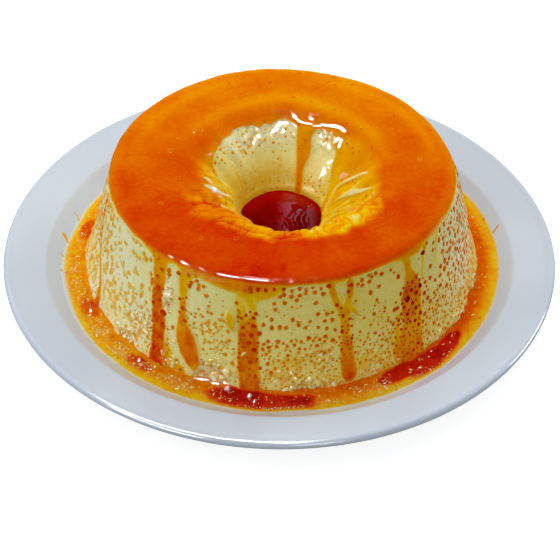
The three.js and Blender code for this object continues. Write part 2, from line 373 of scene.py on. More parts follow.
@dataclass(frozen=True)
class CustardForm:
    """Form of the turned-out ring, as the frame's solid has it, with finer relief.

    A point on it is found by its angle (radians from +X) and its row: 0 at the foot
    of the wall, 9 at the top's edge, 12 at the hole's mouth, 18 a little under the
    level of the hole's caramel. The section has (radius, height) at each row, and a
    crumbly place is (bearing, height, half width, half height, strength).
    """

    centre: tuple[float, float] = (0.8, 4.2)
    mouth_shift: tuple[float, float] = (4.5, 1.5)
    floor: float = 7.0
    wall_swell: float = 0.55
    top_swell: float = 0.35
    flute_depth: float = 2.6
    section: Table = (
        (100.0, 7.0), (100.1, 10.2), (98.1, 17.0), (95.4, 28.0), (92.9, 39.0), (90.4, 50.0), (88.35, 58.3),
        (87.1, 62.9), (85.9, 65.2), (83.6, 66.6), (78.5, 67.1), (60.0, 67.1), (51.5, 65.9), (45.7, 63.3),
        (40.5, 59.3), (34.5, 53.7), (28.4, 47.3), (23.8, 41.0), (20.6, 34.5), (16.0, 7.0),
    )
    tears: tuple[Tear, ...] = (
        Tear(-20, 6.5, 15, 8, 3.6), Tear(-49, 4.2, 13.5, 6, 2.2), Tear(7.5, 6, 11, 4.5, 1.5),
        Tear(74, 6, 12, 6, 1.8), Tear(148, 8, 13, 7, 2.4), Tear(-136, 6, 12, 5, 1.8),
    )
    crumbly: Table = (
        (-36.2, 47, 2.6, 9, 0.9), (-34, 27, 2.6, 9, 0.5), (-33, 14, 5.0, 6, 1.0), (-20, 15, 8.0, 9, 1.1),
        (-50, 13, 9.0, 7, 1.0), (-46, 27, 7.0, 12, 0.6), (-12.5, 26, 2.2, 8, 0.4), (9, 12, 9.0, 5, 0.9),
        (2, 17, 5.0, 6, 0.45), (30, 14, 9.0, 5, 0.6), (14, 27, 7.0, 9, 0.3), (28, 26, 6.0, 8, 0.25),
        (58, 12, 12.0, 4, 0.6), (80, 12, 14.0, 4, 0.6), (-72, 14, 10.0, 6, 0.5), (-95, 13, 14.0, 5, 0.6),
        (118, 14, 14.0, 7, 0.8), (150, 14, 14.0, 8, 0.9), (-135, 13, 14.0, 7, 0.9),
        (-168, 13, 12.0, 6, 0.8),
    )
    flutes: tuple[Fold, ...] = (
        Fold(166, 13, -1.0), Fold(189, 10, 1.0), Fold(207, 9, -0.8), Fold(140, 9, 0.75), Fold(24, 13, -0.9),
        Fold(1, 10, 0.95), Fold(-18, 9, -0.75), Fold(-52, 12, 0.5), Fold(-96, 13, -0.5),
        Fold(-128, 10, 0.45), Fold(78, 12, 0.4),
    )

    @property
    def last(self) -> int:
        """Return the number of the last row."""
        return len(self.section) - 1

    def profile(self, row: Array) -> tuple[Array, Array]:
        """Return the section's point and its direction at each row.

        Args:
            row: Rows of the section, whole or part.

        Returns:
            Points (radius, height) and unit directions, both two columns wide.
        """
        pts = np.array(self.section)
        i = np.clip(np.floor(row).astype(int), 0, self.last - 1)
        t = (row - i)[:, None]
        p0, p1 = pts[np.maximum(i - 1, 0)], pts[i]
        p2, p3 = pts[i + 1], pts[np.minimum(i + 2, self.last)]
        v0, v1 = (p2 - p0) * 0.5, (p3 - p1) * 0.5
        a, b = 2 * p1 - 2 * p2 + v0 + v1, -3 * p1 + 3 * p2 - 2 * v0 - v1
        point = ((a * t + b) * t + v0) * t + p1
        direction = (3 * a * t + 2 * b) * t + v0
        direction /= np.linalg.norm(direction, axis=1)[:, None]
        return point, direction

    def tear_depth(self, front: Array, height: Array) -> Array:
        """Return how deep the wall is torn at each place.

        Args:
            front: Bearings from the front, in degrees.
            height: Heights.

        Returns:
            Depths in millimetres.
        """
        depth = np.zeros(len(front))
        for tear in self.tears:
            across = bump(turn(front, tear.at), tear.half_width)
            depth += tear.depth * across * bump(height - tear.height, tear.reach)
        return depth

    def broken(self, front: Array, height: Array) -> Array:
        """Return how crumbly the wall is at each place.

        Args:
            front: Bearings from the front.
            height: Heights.

        Returns:
            Values from 0 to a little over 1.
        """
        most = np.zeros(len(front))
        for at, level, half_width, half_height, strength in self.crumbly:
            away = np.hypot(turn(front, at) / half_width, (height - level) / half_height)
            most = np.maximum(most, strength * smooth(away, 1.05, 0.45))
        return most

    @staticmethod
    def curd(flat: Array) -> Array:
        """Return the heights of broken curd, from 0 in its gaps to 1."""
        return 0.6 * lumps(flat, 2.6, 5) + 0.4 * lumps(flat, 1.4, 6)

    def fine(self, angle: Array, row: Array, flat: Array) -> Array:
        """Return the relief that is finer than the frame's solid.

        Args:
            angle: Angles in radians.
            row: Rows of the section.
            flat: The points before this relief, in millimetres.

        Returns:
            Heights out of the surface.
        """
        front = np.degrees(angle) + 90.0
        z = flat[:, 2]
        wall = 1.0 - smooth(row, 7.2, 8.6)
        funnel = smooth(row, 12.0, 13.2)
        out = 0.1 * soft_noise(flat, 9.0, 3, 2) * np.maximum(wall, 0.6 * funnel)
        out += 0.05 * soft_noise(flat, 2.6, 4) * wall
        broken = wall * self.broken(front, z) * smooth(soft_noise(flat, 6.0, 9, 2), -0.45, 0.05)
        out += broken * (2.0 * self.curd(flat) + 0.8 * soft_noise(flat, 5.5, 7, 2) - 0.75)
        # Level lines and shallow dents that the mould leaves
        out += wall * 0.1 * soft_noise(flat * np.array([0.14, 0.14, 1.0]), 1.7, 10) * smooth(z, 10.0, 24.0)
        out -= wall * 0.22 * smooth(z, 40.0, 18.0) * lumps(flat, 4.2, 11) ** 3
        pleat, weight = self.pleats(angle, row)
        out += pleat * weight * bump(row - 14.3, 3.4)
        degrees = np.degrees(angle)
        out += HOLE.folds(degrees, row, np.hypot(flat[:, 0] - self.centre[0], flat[:, 1] - self.centre[1]))[0]
        there, lines, swelling = self.lip(angle, row)
        out += there * (1.6 * swelling - 0.45 * lines - 0.2)
        # Custard that came away wet and crumpled under the back of the mouth
        crumpled = smooth(row, 13.2, 13.7) * smooth(row, 15.0, 14.3) * bump(turn(degrees, 122.0), 34.0)
        crumpled += smooth(row, 13.5, 13.9) * smooth(row, 15.2, 14.6) * bump(turn(degrees, 62.0), 11.0)
        out += crumpled * (1.8 * np.abs(soft_noise(flat, 4.4, 23, 2)) + 1.0 * soft_noise(flat, 2.2, 24) - 0.3)
        return out

    def pleats(self, angle: Array, row: Array) -> tuple[Array, Array]:
        """Return the folds of the top where it is drawn down into the hole.

        Args:
            angle: Angles in radians.
            row: Rows of the section.

        Returns:
            The folds, from -1 in a valley to 1 on a ridge, and their height there.
        """
        degrees = np.degrees(angle)
        sides = np.maximum(bump(turn(degrees, 190.0), 40.0), bump(turn(degrees, -16.0), 44.0))
        front_lip = bump(turn(degrees, -95.0), 74.0)
        swirl = angle + 0.05 * np.sin(row * 1.3)
        down = circled(swirl, 60.0, row * 2.2)
        across = circled(swirl, 34.0, row * 7.0 + 2.0 * np.sin(angle * 5.0))
        a = 1.0 - np.abs(soft_noise(down, 5.0, 21, 2)) * 2.4
        b = 1.0 - np.abs(soft_noise(across, 5.2, 22, 3)) * 2.6
        share = front_lip / np.maximum(front_lip + sides, 1e-6)
        return a * (1 - share) + b * share, 0.55 * sides * (1 - share) + 0.6 * front_lip * share

    def lip(self, angle: Array, row: Array) -> tuple[Array, Array, Array]:
        """Return the crumpled skin along the front of the hole's mouth.

        Args:
            angle: Angles in radians.
            row: Rows of the section.

        Returns:
            How much of it there is, its fold lines from 0 to 1, and its swelling.
        """
        degrees = np.degrees(angle)
        flat = circled(angle, 52.0, row * 5.0)
        start = 11.05 + 0.5 * soft_noise(flat, 9.0, 25, 2)
        there = smooth(row, start, start + 0.6) * smooth(row, 15.6, 14.4)
        there = there * smooth(bump(turn(degrees, -92.0), 92.0), 0.0, 0.35)
        along = circled(angle, 30.0, row * 8.0 + 3.0 * np.sin(angle * 7.0))
        wave, second = soft_noise(along, 8.0, 26, 2), soft_noise(flat, 6.5, 27, 2)
        third = soft_noise(flat * np.array([1.0, 1.0, 2.0]), 4.4, 28)
        lines = np.maximum(np.exp(-((wave / 0.07) ** 2)), 0.8 * np.exp(-((second / 0.06) ** 2)))
        lines = np.maximum(lines, 0.6 * np.exp(-((third / 0.07) ** 2)))
        return there, lines, np.abs(wave) + 0.6 * np.abs(second)

    def warmth(self, angle: Array, row: Array, points: Array) -> Array:
        """Return how yellow the custard is at each place.

        Args:
            angle: Angles in radians.
            row: Rows of the section.
            points: The custard's points there.

        Returns:
            Values from 0 to about 1.
        """
        degrees, z = np.degrees(angle), points[:, 2]
        funnel = smooth(row, 12.4, 13.0)
        # The wall is yellower towards the front right and low down: partly caramel soaked into it, partly
        # painted warm light from the caramel on its shaded side
        wall = 0.1 + 0.64 * bump(turn(degrees + 90.0, 32.0), 100.0) + 0.06 * smooth(z, 40.0, 10.0)
        # Inside the hole the custard is yellower further down: partly caramel soaked into it, partly painted
        # warm shade deep in the hole
        inner = 0.16 + 0.8 * smooth(z, 60.0, 42.0)
        inner += 0.35 * bump(turn(degrees, 165.0), 32.0)
        # Painted sheen: far round to the right the wall is paler, standing in for the plate's reflection in
        # the wet custard
        wall -= 0.3 * bump(turn(degrees + 90.0, 76.0), 26.0) * smooth(z, 14.0, 30.0)
        return wall * (1 - funnel) + inner * funnel + 0.14 * soft_noise(points, 22.0, 41, 2)

    def point(self, angle: Array, row: Array, lift: Array | float = 0.0, fine: float = 1.0) -> Array:
        """Return points on the custard, or lifted off it.

        Args:
            angle: Angles in radians.
            row: Rows of the section.
            lift: How far each point is lifted.
            fine: Share of the fine relief to use.

        Returns:
            Points in millimetres, one a row.
        """
        angle, row = np.asarray(angle, float), np.asarray(row, float)
        point, direction = self.profile(row)
        wall = np.sin(3 * angle + 0.7 + 0.25 * row) + 0.6 * np.sin(7 * angle - 1.1 - 0.4 * row)
        wall = self.wall_swell * wall
        top = self.top_swell * (np.sin(2 * angle + 1.9) + 0.7 * np.sin(5 * angle + 0.5 * row))
        on_top = smooth(row, 7.0, 10.0)
        degrees = np.degrees(angle)
        flute = np.zeros(len(row))
        for fold in self.flutes:
            flute += fold.share * bump(turn(degrees, fold.at), fold.half_width)
        clear = np.minimum(1.0, row) * np.minimum(1.0, self.last - row)
        out = wall * (1 - on_top) + top * on_top + self.flute_depth * bump(row - 14.2, 3.2) * flute
        out = clear * (out - self.tear_depth(degrees + 90.0, point[:, 1]))
        shift = smooth(row, 8.5, 14.0) * (1.0 - smooth(row, 15.0, 18.0))

        def place(off: Array) -> Array:
            """Return the points that lie this far out of the section."""
            radius = point[:, 0] + direction[:, 1] * off
            x = self.centre[0] + radius * np.cos(angle) + self.mouth_shift[0] * shift
            y = self.centre[1] + radius * np.sin(angle) + self.mouth_shift[1] * shift
            return np.stack([x, y, np.maximum(point[:, 1] - direction[:, 0] * off, self.floor)], axis=1)

        if fine > 0.0:
            out = out + clear * fine * self.fine(angle, row, place(out))
        return place(out + lift)


FORM = CustardForm()


# ---------------------------------------------------------------- meshes


def new_object(name: str, points: Array, faces: Sequence[Sequence[int]]) -> Piece:
    """Make a smooth mesh object at the origin.

    Args:
        name: Name of the piece.
        points: Corners in millimetres.
        faces: Corner numbers of each face.

    Returns:
        The new object.
    """
    mesh = bpy.data.meshes.new(name)
    mesh.from_pydata((np.asarray(points) * MM).tolist(), [], faces)
    mesh.validate()
    mesh.polygons.foreach_set("use_smooth", [True] * len(mesh.polygons))
    mesh.update()
    obj = bpy.data.objects.new(name, mesh)
    bpy.context.scene.collection.objects.link(obj)
    return obj


def face_outward(obj: Piece) -> None:
    """Merge a mesh's doubles and turn its faces outward.

    Args:
        obj: The piece to mend.
    """
    bm = bmesh.new()
    bm.from_mesh(obj.data)
    bmesh.ops.remove_doubles(bm, verts=bm.verts, dist=1e-7)
    bmesh.ops.recalc_face_normals(bm, faces=bm.faces)
    bm.to_mesh(obj.data)
    bm.free()


def paint(obj: Piece, **layers: Array | float) -> None:
    """Store numbers for the corner points of a mesh, which its finish reads.

    Args:
        obj: The piece.
        layers: One value a corner, or one for all, by the attribute's name.
    """
    for name, values in layers.items():
        layer = obj.data.attributes.new(name, "FLOAT", "POINT")
        each = np.broadcast_to(values, len(obj.data.vertices)).astype(np.float32)
        layer.data.foreach_set("value", each)


def ring_faces(columns: int, rows: int, closed_rows: bool = True) -> list[tuple[int, int, int, int]]:
    """Return the faces of a grid that closes round on itself.

    Args:
        columns: Number of columns round the ring.
        rows: Number of rows in each column.
        closed_rows: Whether the last row joins the first.

    Returns:
        Four corner numbers for each face, facing out for an outline that runs
        from the outside over the top to the inside.
    """
    i = np.arange(columns)[:, None]
    j = np.arange(rows if closed_rows else rows - 1)[None, :]
    i2, j2 = (i + 1) % columns, (j + 1) % rows
    quads = np.stack([i * rows + j, i2 * rows + j, i2 * rows + j2, i * rows + j2], axis=-1)
    return quads.reshape(-1, 4).tolist()


def capped_faces(columns: int, rows: int) -> list[tuple[int, ...]]:
    """Return the faces of a turned body that is shut at both ends.

    Args:
        columns: Number of columns round the body.
        rows: Number of rows in each column.

    Returns:
        Corner numbers of each face. The middle of the first end comes after the
        grid's own corners, and the middle of the last end after that.
    """
    faces = ring_faces(columns, rows, closed_rows=False)
    first, last = columns * rows, columns * rows + 1
    for i in range(columns):
        k = (i + 1) % columns
        faces.append((k * rows, i * rows, first))
        faces.append((i * rows + rows - 1, k * rows + rows - 1, last))
    return faces


def tube_faces(start: int, rings: int, sides: int) -> list[tuple[int, ...]]:
    """Return the faces between rings of corners that follow one another.

    Args:
        start: Number of the first ring's first corner.
        rings: How many rings there are.
        sides: Corners in a ring.

    Returns:
        Four corner numbers for each face.
    """
    faces = []
    for p in range(start, start + (rings - 1) * sides):
        r = p + 1 if (p + 1 - start) % sides else p + 1 - sides
        faces.append((p, r, r + sides, p + sides))
    return faces


def settle(obj: Piece, slot: str, *nodes: str) -> Piece:
    """Tell the frame what a piece rides on and stands for.

    Args:
        obj: The finished piece.
        slot: Name of the record's material slot; not used.
        nodes: Frame nodes that it stands for.

    Returns:
        The same piece.
    """
    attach(obj, "root")
    if nodes:
        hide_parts(*nodes)
    log.info("%s: %d faces, rides on root%s", obj.name, len(obj.data.polygons),
             ", stands for " + ", ".join(nodes) if nodes else "")
    return obj


# ---------------------------------------------------------------- shader writing


def linear(hex_colour: str) -> tuple[float, float, float, float]:
    """Return a screen colour as linear light.

    Args:
        hex_colour: Six hexadecimal digits.

    Returns:
        Red, green, blue and 1.
    """
    out = []
    for k in (0, 2, 4):
        c = int(hex_colour[k:k + 2], 16) / 255.0
        out.append(c / 12.92 if c <= 0.04045 else ((c + 0.055) / 1.055) ** 2.4)
    return (out[0], out[1], out[2], 1.0)


class Writer:
    """Writes nodes into one tree and joins them."""

    def __init__(self, tree: Tree) -> None:
        """Start on a shader or geometry tree."""
        self.tree = tree
        self.tree.nodes.clear()

    def node(self, kind: str, **settings: object) -> Node:
        """Add a node.

        Args:
            kind: Its Blender type name.
            settings: Properties to set on it.

        Returns:
            The node.
        """
        made = self.tree.nodes.new(kind)
        for key, value in settings.items():
            setattr(made, key, value)
        made.location = (180 * (len(self.tree.nodes) % 12), -160 * (len(self.tree.nodes) // 12))
        return made

    def join(self, source: object, target: Socket) -> None:
        """Link a socket to another, or set a constant on it.

        Args:
            source: An output socket, or a value.
            target: The input socket.
        """
        if isinstance(source, Socket):
            self.tree.links.new(source, target)
        else:
            target.default_value = source

    def feed(self, node: Node, **inputs: object) -> None:
        """Link or set some inputs of a node, by name with _ for a space."""
        for key, value in inputs.items():
            self.join(value, node.inputs[key.replace("_", " ")])

    def math(self, operation: str, a: object, b: object = 0.0, c: object = 0.0,
             clamp: bool = False) -> Socket:
        """Add a math node.

        Args:
            operation: Its operation.
            a: First value or socket.
            b: Second value or socket.
            c: Third value or socket.
            clamp: Whether the result is kept between 0 and 1.

        Returns:
            Its output.
        """
        made = self.node("ShaderNodeMath", operation=operation, use_clamp=clamp)
        for value, socket in zip((a, b, c), made.inputs):
            self.join(value, socket)
        return made.outputs[0]

    def times(self, a: object, b: object) -> Socket:
        """Return one value times another."""
        return self.math("MULTIPLY", a, b)

    def remap(self, value: object, low: float, high: float, to_low: float = 0.0, to_high: float = 1.0,
              smooth_step: bool = True) -> Socket:
        """Map a range of a value onto another, held at its ends.

        Args:
            value: Socket to map.
            low: Value that gives to_low.
            high: Value that gives to_high.
            to_low: Result at low.
            to_high: Result at high.
            smooth_step: Whether the change eases in and out.

        Returns:
            The mapped value.
        """
        made = self.node("ShaderNodeMapRange", interpolation_type="SMOOTHSTEP" if smooth_step else "LINEAR")
        for k, v in enumerate((value, low, high, to_low, to_high)):
            self.join(v, made.inputs[k])
        return made.outputs[0]

    def noise(self, coords: object, scale: float, detail: float = 2.0,
              roughness: float = 0.5) -> Socket:
        """Add a noise texture.

        Args:
            coords: Coordinates socket.
            scale: Noise scale.
            detail: Its octaves.
            roughness: Weight of the finer octaves.

        Returns:
            Its value, from 0 to 1.
        """
        made = self.node("ShaderNodeTexNoise")
        self.feed(made, Vector=coords, Scale=scale, Detail=detail, Roughness=roughness)
        return made.outputs[0]

    def wander(self, coords: object, scale: float, detail: float = 2.0,
               roughness: float = 0.5) -> Socket:
        """Return noise that is centred on 0; its arguments are those of noise."""
        return self.math("SUBTRACT", self.noise(coords, scale, detail, roughness), 0.5)

    def ramp(self, value: object, stops: Sequence[tuple[float, str]]) -> Socket:
        """Add a colour ramp.

        Args:
            value: What drives it.
            stops: Positions and screen colours.

        Returns:
            The colour output.
        """
        made = self.node("ShaderNodeValToRGB")
        ramp = made.color_ramp
        while len(ramp.elements) < len(stops):
            ramp.elements.new(0.5)
        for element, (position, colour) in zip(ramp.elements, stops):
            element.position = position
            element.color = linear(colour)
        self.join(value, made.inputs[0])
        return made.outputs[0]

    def mix(self, share: object, a: object, b: object) -> Socket:
        """Mix two colours.

        Args:
            share: How much of b.
            a: First colour.
            b: Second colour.

        Returns:
            The mixed colour.
        """
        made = self.node("ShaderNodeMix", data_type="RGBA")
        self.join(share, made.inputs[0])
        self.join(a, made.inputs[6])
        self.join(b, made.inputs[7])
        return made.outputs[2]

    def attribute(self, name: str) -> Socket:
        """Read the numbers painted on the mesh under a name."""
        return self.node("ShaderNodeAttribute", attribute_name=name).outputs["Fac"]

    def coords(self) -> Socket:
        """Return the object's own coordinates, in metres."""
        return self.node("ShaderNodeTexCoord").outputs["Object"]

    def group(self, tree: Tree, **inputs: object) -> Node:
        """Add a group and feed its inputs.

        Args:
            tree: The group's tree.
            inputs: Values or sockets by input name, with _ for a space.

        Returns:
            The group node.
        """
        made = self.node("ShaderNodeGroup", node_tree=tree)
        self.feed(made, **inputs)
        return made


def shader_group(
    name: str, inputs: dict[str, float], outputs: dict[str, str]
) -> tuple[Writer, Node, Node]:
    """Start a shader group with named sockets.

    Args:
        name: Its name.
        inputs: Number inputs and their defaults.
        outputs: Output names and socket types.

    Returns:
        Its writer, its input node and its output node.
    """
    tree = bpy.data.node_groups.new(name, "ShaderNodeTree")
    write = Writer(tree)
    for key, default in inputs.items():
        socket = tree.interface.new_socket(key, in_out="INPUT", socket_type="NodeSocketFloat")
        socket.default_value = default
    for key, kind in outputs.items():
        tree.interface.new_socket(key, in_out="OUTPUT", socket_type=kind)
    return write, write.node("NodeGroupInput"), write.node("NodeGroupOutput")


class Tones:
    """Shader groups that more than one finish uses."""

    def __init__(self) -> None:
        """Write the groups."""
        self.caramel = self._caramel()
        self.custard = self._custard()
        self.pinholes = self._pinholes()
        self.ridges = self._ridges()

    @staticmethod
    def _caramel() -> Tree:
        """Colour of caramel by its depth, mottled a little.

        Returns:
            The group.
        """
        write, given, out = shader_group(
            "caramel_tone", {"Depth": 0.5, "Mottle": 0.06},
            {"Color": "NodeSocketColor", "Depth": "NodeSocketFloat"},
        )
        coords = write.coords()
        slow = write.wander(coords, 55.0, 3.0, 0.55)
        fast = write.wander(coords, 420.0, 2.0, 0.6)
        mottled = write.math("ADD", write.times(slow, 1.6), write.times(fast, 1.1))
        depth = write.math("MULTIPLY_ADD", mottled, given.outputs["Mottle"], given.outputs["Depth"])
        shades = [
            (0.0, "E7DBA0"), (0.08, "E8CC50"), (0.18, "E8B800"), (0.32, "E89C00"), (0.46, "E38000"),
            (0.58, "DB6600"), (0.7, "D24600"), (0.8, "CA2C00"), (0.88, "BC1600"), (0.95, "960700"),
            (1.0, "5A0200"),
        ]
        colour = write.ramp(depth, shades)
        write.feed(out, Color=colour, Depth=depth)
        return write.tree

    @staticmethod
    def _custard() -> Tree:
        """Colour of clean custard, from nearly white to yellow, clouded a little.

        Returns:
            The group.
        """
        write, given, out = shader_group("custard_tone", {"Warmth": 0.3}, {"Color": "NodeSocketColor"})
        coords = write.coords()
        cloud = write.wander(coords, 60.0, 4.0, 0.6)
        small = write.wander(coords, 420.0, 3.0, 0.65)
        warmth = write.math("MULTIPLY_ADD", small, 0.7, given.outputs["Warmth"])
        warmth = write.math("MULTIPLY_ADD", cloud, 0.55, warmth, clamp=True)
        shades = [(0.0, "E9E6BC"), (0.28, "E7DE90"), (0.55, "E7D878"), (0.75, "E6D064"), (1.0, "E4BE30")]
        write.feed(out, Color=write.ramp(warmth, shades))
        return write.tree

    @staticmethod
    def _pinholes() -> Tree:
        """Fine round pits, as many as the density asks for.

        Returns:
            The group.
        """
        write, given, out = shader_group(
            "pinholes", {"Density": 0.4, "Scale": 520.0},
            {"Mask": "NodeSocketFloat", "Height": "NodeSocketFloat"},
        )
        cells = write.node("ShaderNodeTexVoronoi", voronoi_dimensions="3D", feature="F1")
        write.feed(cells, Vector=write.coords(), Scale=given.outputs["Scale"])
        chance = write.node("ShaderNodeSeparateColor")
        write.join(cells.outputs["Color"], chance.inputs[0])
        kept = write.math("LESS_THAN", chance.outputs[0], given.outputs["Density"])
        radius = write.math("MULTIPLY_ADD", chance.outputs[1], 0.2, 0.16)
        edge = write.math("SUBTRACT", radius, cells.outputs["Distance"])
        mask = write.times(write.remap(edge, -0.02, 0.05), kept)
        depth = write.times(write.remap(edge, 0.0, 0.2), kept)
        write.feed(out, Mask=mask)
        write.feed(out, Height=write.times(depth, -1.0))
        return write.tree

    @staticmethod
    def _ridges() -> Tree:
        """Level lines that the mould leaves round the wall.

        Returns:
            The group.
        """
        write, given, out = shader_group("mould_ridges", {"Strength": 1.0}, {"Height": "NodeSocketFloat"})
        coords = write.coords()
        axes = write.node("ShaderNodeSeparateXYZ")
        write.join(coords, axes.inputs[0])
        bend = write.times(write.wander(coords, 30.0, 2.0), 0.0016)
        level = write.math("ADD", axes.outputs["Z"], bend)
        wave = write.math("SINE", write.times(level, 2.0 * math.pi / 0.0013))
        patch = write.remap(write.noise(coords, 38.0, 2.0), 0.42, 0.62)
        height = write.times(write.times(wave, patch), given.outputs["Strength"])
        write.feed(out, Height=height)
        return write.tree


@dataclass(frozen=True)
class Gloss:
    """Numbers of a surface that stay the same all over it.

    Attributes:
        roughness: Roughness of the base.
        ior: Its index of refraction.
        specular: Its specular level.
        coat: Weight of the wet layer on top.
        coat_roughness: That layer's roughness.
        subsurface: Share of light that goes under the surface.
        radius: How far it goes, in millimetres.
    """

    roughness: float = 0.3
    ior: float = 1.45
    specular: float = 0.5
    coat: float = 0.0
    coat_roughness: float = 0.05
    subsurface: float = 0.0
    radius: float = 2.0


def new_material(name: str, gloss: Gloss) -> tuple[Material, Writer, Node]:
    """Start a material with its constant values set.

    Args:
        name: Its name.
        gloss: Its constant values.

    Returns:
        The material, its writer and its shader node.
    """
    material = bpy.data.materials.new(name)
    material.use_nodes = True
    write = Writer(material.node_tree)
    shader = write.node("ShaderNodeBsdfPrincipled")
    output = write.node("ShaderNodeOutputMaterial")
    write.feed(output, Surface=shader.outputs[0])
    write.feed(shader, Roughness=gloss.roughness, IOR=gloss.ior, Specular_IOR_Level=gloss.specular)
    write.feed(shader, Coat_Weight=gloss.coat, Coat_Roughness=gloss.coat_roughness)
    write.feed(shader, Subsurface_Weight=gloss.subsurface, Subsurface_Radius=GLOW_REACH,
               Subsurface_Scale=gloss.radius * MM)
    return material, write, shader


def add_bump(write: Writer, shader: Node, height: object, distance: float,
             strength: float = 1.0) -> None:
    """Feed a height into the shader's normal.

    Args:
        write: The material's writer.
        shader: Its shader node.
        height: Height socket.
        distance: Real height of 1, in millimetres.
        strength: Strength of the bump.
    """
    made = write.node("ShaderNodeBump")
    write.feed(made, Strength=strength, Distance=distance * MM, Height=height)
    write.feed(shader, Normal=made.outputs[0])


# ---------------------------------------------------------------- finishes


class Finishes:
    """All the dish's materials."""

    def __init__(self, tones: Tones) -> None:
        """Write the materials.

        Args:
            tones: The shared shader groups.
        """
        self.tones = tones
        self.glaze = self._glaze()
        self.custard = self._custard()
        self.curd = self._curd()
        film = Gloss(0.2, 1.42, 0.0, 0.2, 0.02, 0.08, 1.5)
        sauce = Gloss(0.16, 1.42, 0.0, 0.3, 0.02, 0.05, 1.0)
        still = Gloss(0.1, 1.33, 0.0, 0.2, 0.02, 0.0, 1.0)
        self.caramel = self._caramel("caramel_film", film, 0.16, 0.06)
        # The sauce's ground is a little lighter than the glaze, a painted stand-in for the glaze's reflection
        # that the thin sauce covers
        self.sauce = self._caramel("caramel_sauce", sauce, 0.2, 0.05, "D2DCE6")
        self.still = self._caramel("still_caramel", still, 0.03, 0.03)
        self.pit = self._pit()
        self.bubble = self._bubble()

    def _glaze(self) -> Material:
        """White porcelain glaze, very slightly blue.

        Returns:
            The material.
        """
        material, write, shader = new_material("porcelain_glaze", Gloss(0.16, 1.5, 0.3, 0.3, 0.04))
        coords = write.coords()
        tone = write.remap(write.noise(coords, 14.0, 3.0), 0.3, 0.7)
        white = write.mix(tone, linear("CBD4E0"), linear("D1DAE4"))
        # Painted light: the bend of the well is tinted blue, a painted bluish reflection and cool shade set
        # against the warm light that the caramel throws there; distances are in metres
        axes, flat = write.node("ShaderNodeSeparateXYZ"), write.node("ShaderNodeCombineXYZ")
        write.join(coords, axes.inputs[0])
        write.feed(flat, X=axes.outputs["X"], Y=axes.outputs["Y"])
        radius = write.node("ShaderNodeVectorMath", operation="LENGTH")
        write.join(flat.outputs[0], radius.inputs[0])
        bend = write.times(write.remap(radius.outputs["Value"], 0.1065, 0.1095),
                          write.remap(radius.outputs["Value"], 0.1185, 0.1145))
        write.feed(shader, Base_Color=write.mix(write.times(bend, 0.3), white, linear("B8D2F6")))
        ripple = write.noise(coords, 70.0, 2.0)
        rough = write.remap(write.noise(coords, 160.0, 2.0), 0.3, 0.7, 0.12, 0.2)
        write.feed(shader, Roughness=rough)
        add_bump(write, shader, ripple, 0.12, 0.35)
        return material

    def _custard(self) -> Material:
        """Set custard: pale where clean, golden where caramel has wetted it.

        Returns:
            The material.
        """
        material, write, shader = new_material("custard", Gloss(0.4, 1.4, 0.15, 0.1, 0.04, 0.22, 2.2))
        coords = write.coords()
        warm = write.attribute("warm")
        stain = write.attribute("stain")
        base = write.group(self.tones.custard, Warmth=warm).outputs["Color"]
        streak = write.math("MULTIPLY_ADD", write.wander(coords, 240.0, 3.0, 0.6), 0.5, stain)
        edge = write.remap(streak, 0.16, 0.3)
        stained = write.remap(streak, 0.2, 1.0, 0.16, 0.6, smooth_step=False)
        wet = write.group(self.tones.caramel, Depth=stained, Mottle=0.1)
        colour = write.mix(write.times(edge, 0.82), base, wet.outputs["Color"])
        fine = write.group(self.tones.pinholes, Density=write.attribute("pores"), Scale=640.0)
        colour = write.mix(write.times(fine.outputs["Mask"], 0.75), colour, linear("B87410"))
        ridges = write.group(self.tones.ridges, Strength=write.attribute("ridges"))
        # Painted shade: the grooves between the mould's level lines are darkened in colour
        painted_groove_shade = write.remap(ridges.outputs["Height"], 0.1, -0.9, 0.0, 0.34)
        colour = write.mix(painted_groove_shade, colour, linear("B79A3C"))
        write.feed(shader, Base_Color=colour)
        damp = write.remap(write.noise(coords, 380.0, 2.0), 0.5, 0.62)
        damp = write.times(damp, write.remap(write.noise(coords, 60.0, 2.0), 0.4, 0.6, 0.35, 1.0))
        coat = write.math("MAXIMUM", write.times(damp, 0.7), write.attribute("damp"))
        write.feed(shader, Coat_Weight=coat)
        grain = write.times(write.noise(coords, 900.0, 3.0), 0.35)
        height = write.math("ADD", grain, write.times(ridges.outputs["Height"], 1.3))
        height = write.math("ADD", height, write.times(fine.outputs["Height"], 1.6))
        rough = write.remap(write.noise(coords, 130.0, 3.0), 0.35, 0.65, 0.28, 0.46)
        write.feed(shader, Roughness=rough)
        crumple = write.math("MULTIPLY_ADD", write.attribute("damp"), 3.0, 1.1)
        height = write.math("ADD", height, write.times(write.noise(coords, 420.0, 2.0), crumple))
        add_bump(write, shader, height, 0.14, 0.8)
        return material

    def _curd(self) -> Material:
        """Broken custard, lying wet in caramel.

        Returns:
            The material.
        """
        material, write, shader = new_material("custard_crumb", Gloss(0.35, 1.4, 0.25, 0.6, 0.05, 0.4, 1.2))
        coords = write.coords()
        cloud = write.wander(coords, 300.0, 2.0)
        soak = write.math("MULTIPLY_ADD", cloud, 0.9, write.attribute("soak"), clamp=True)
        shades = [(0.0, "FFFAD8"), (0.35, "F8E9A2"), (0.6, "F0CA44"), (1.0, "E69A10")]
        write.feed(shader, Base_Color=write.ramp(soak, shades))
        add_bump(write, shader, write.noise(coords, 700.0, 3.0), 0.2, 0.7)
        return material

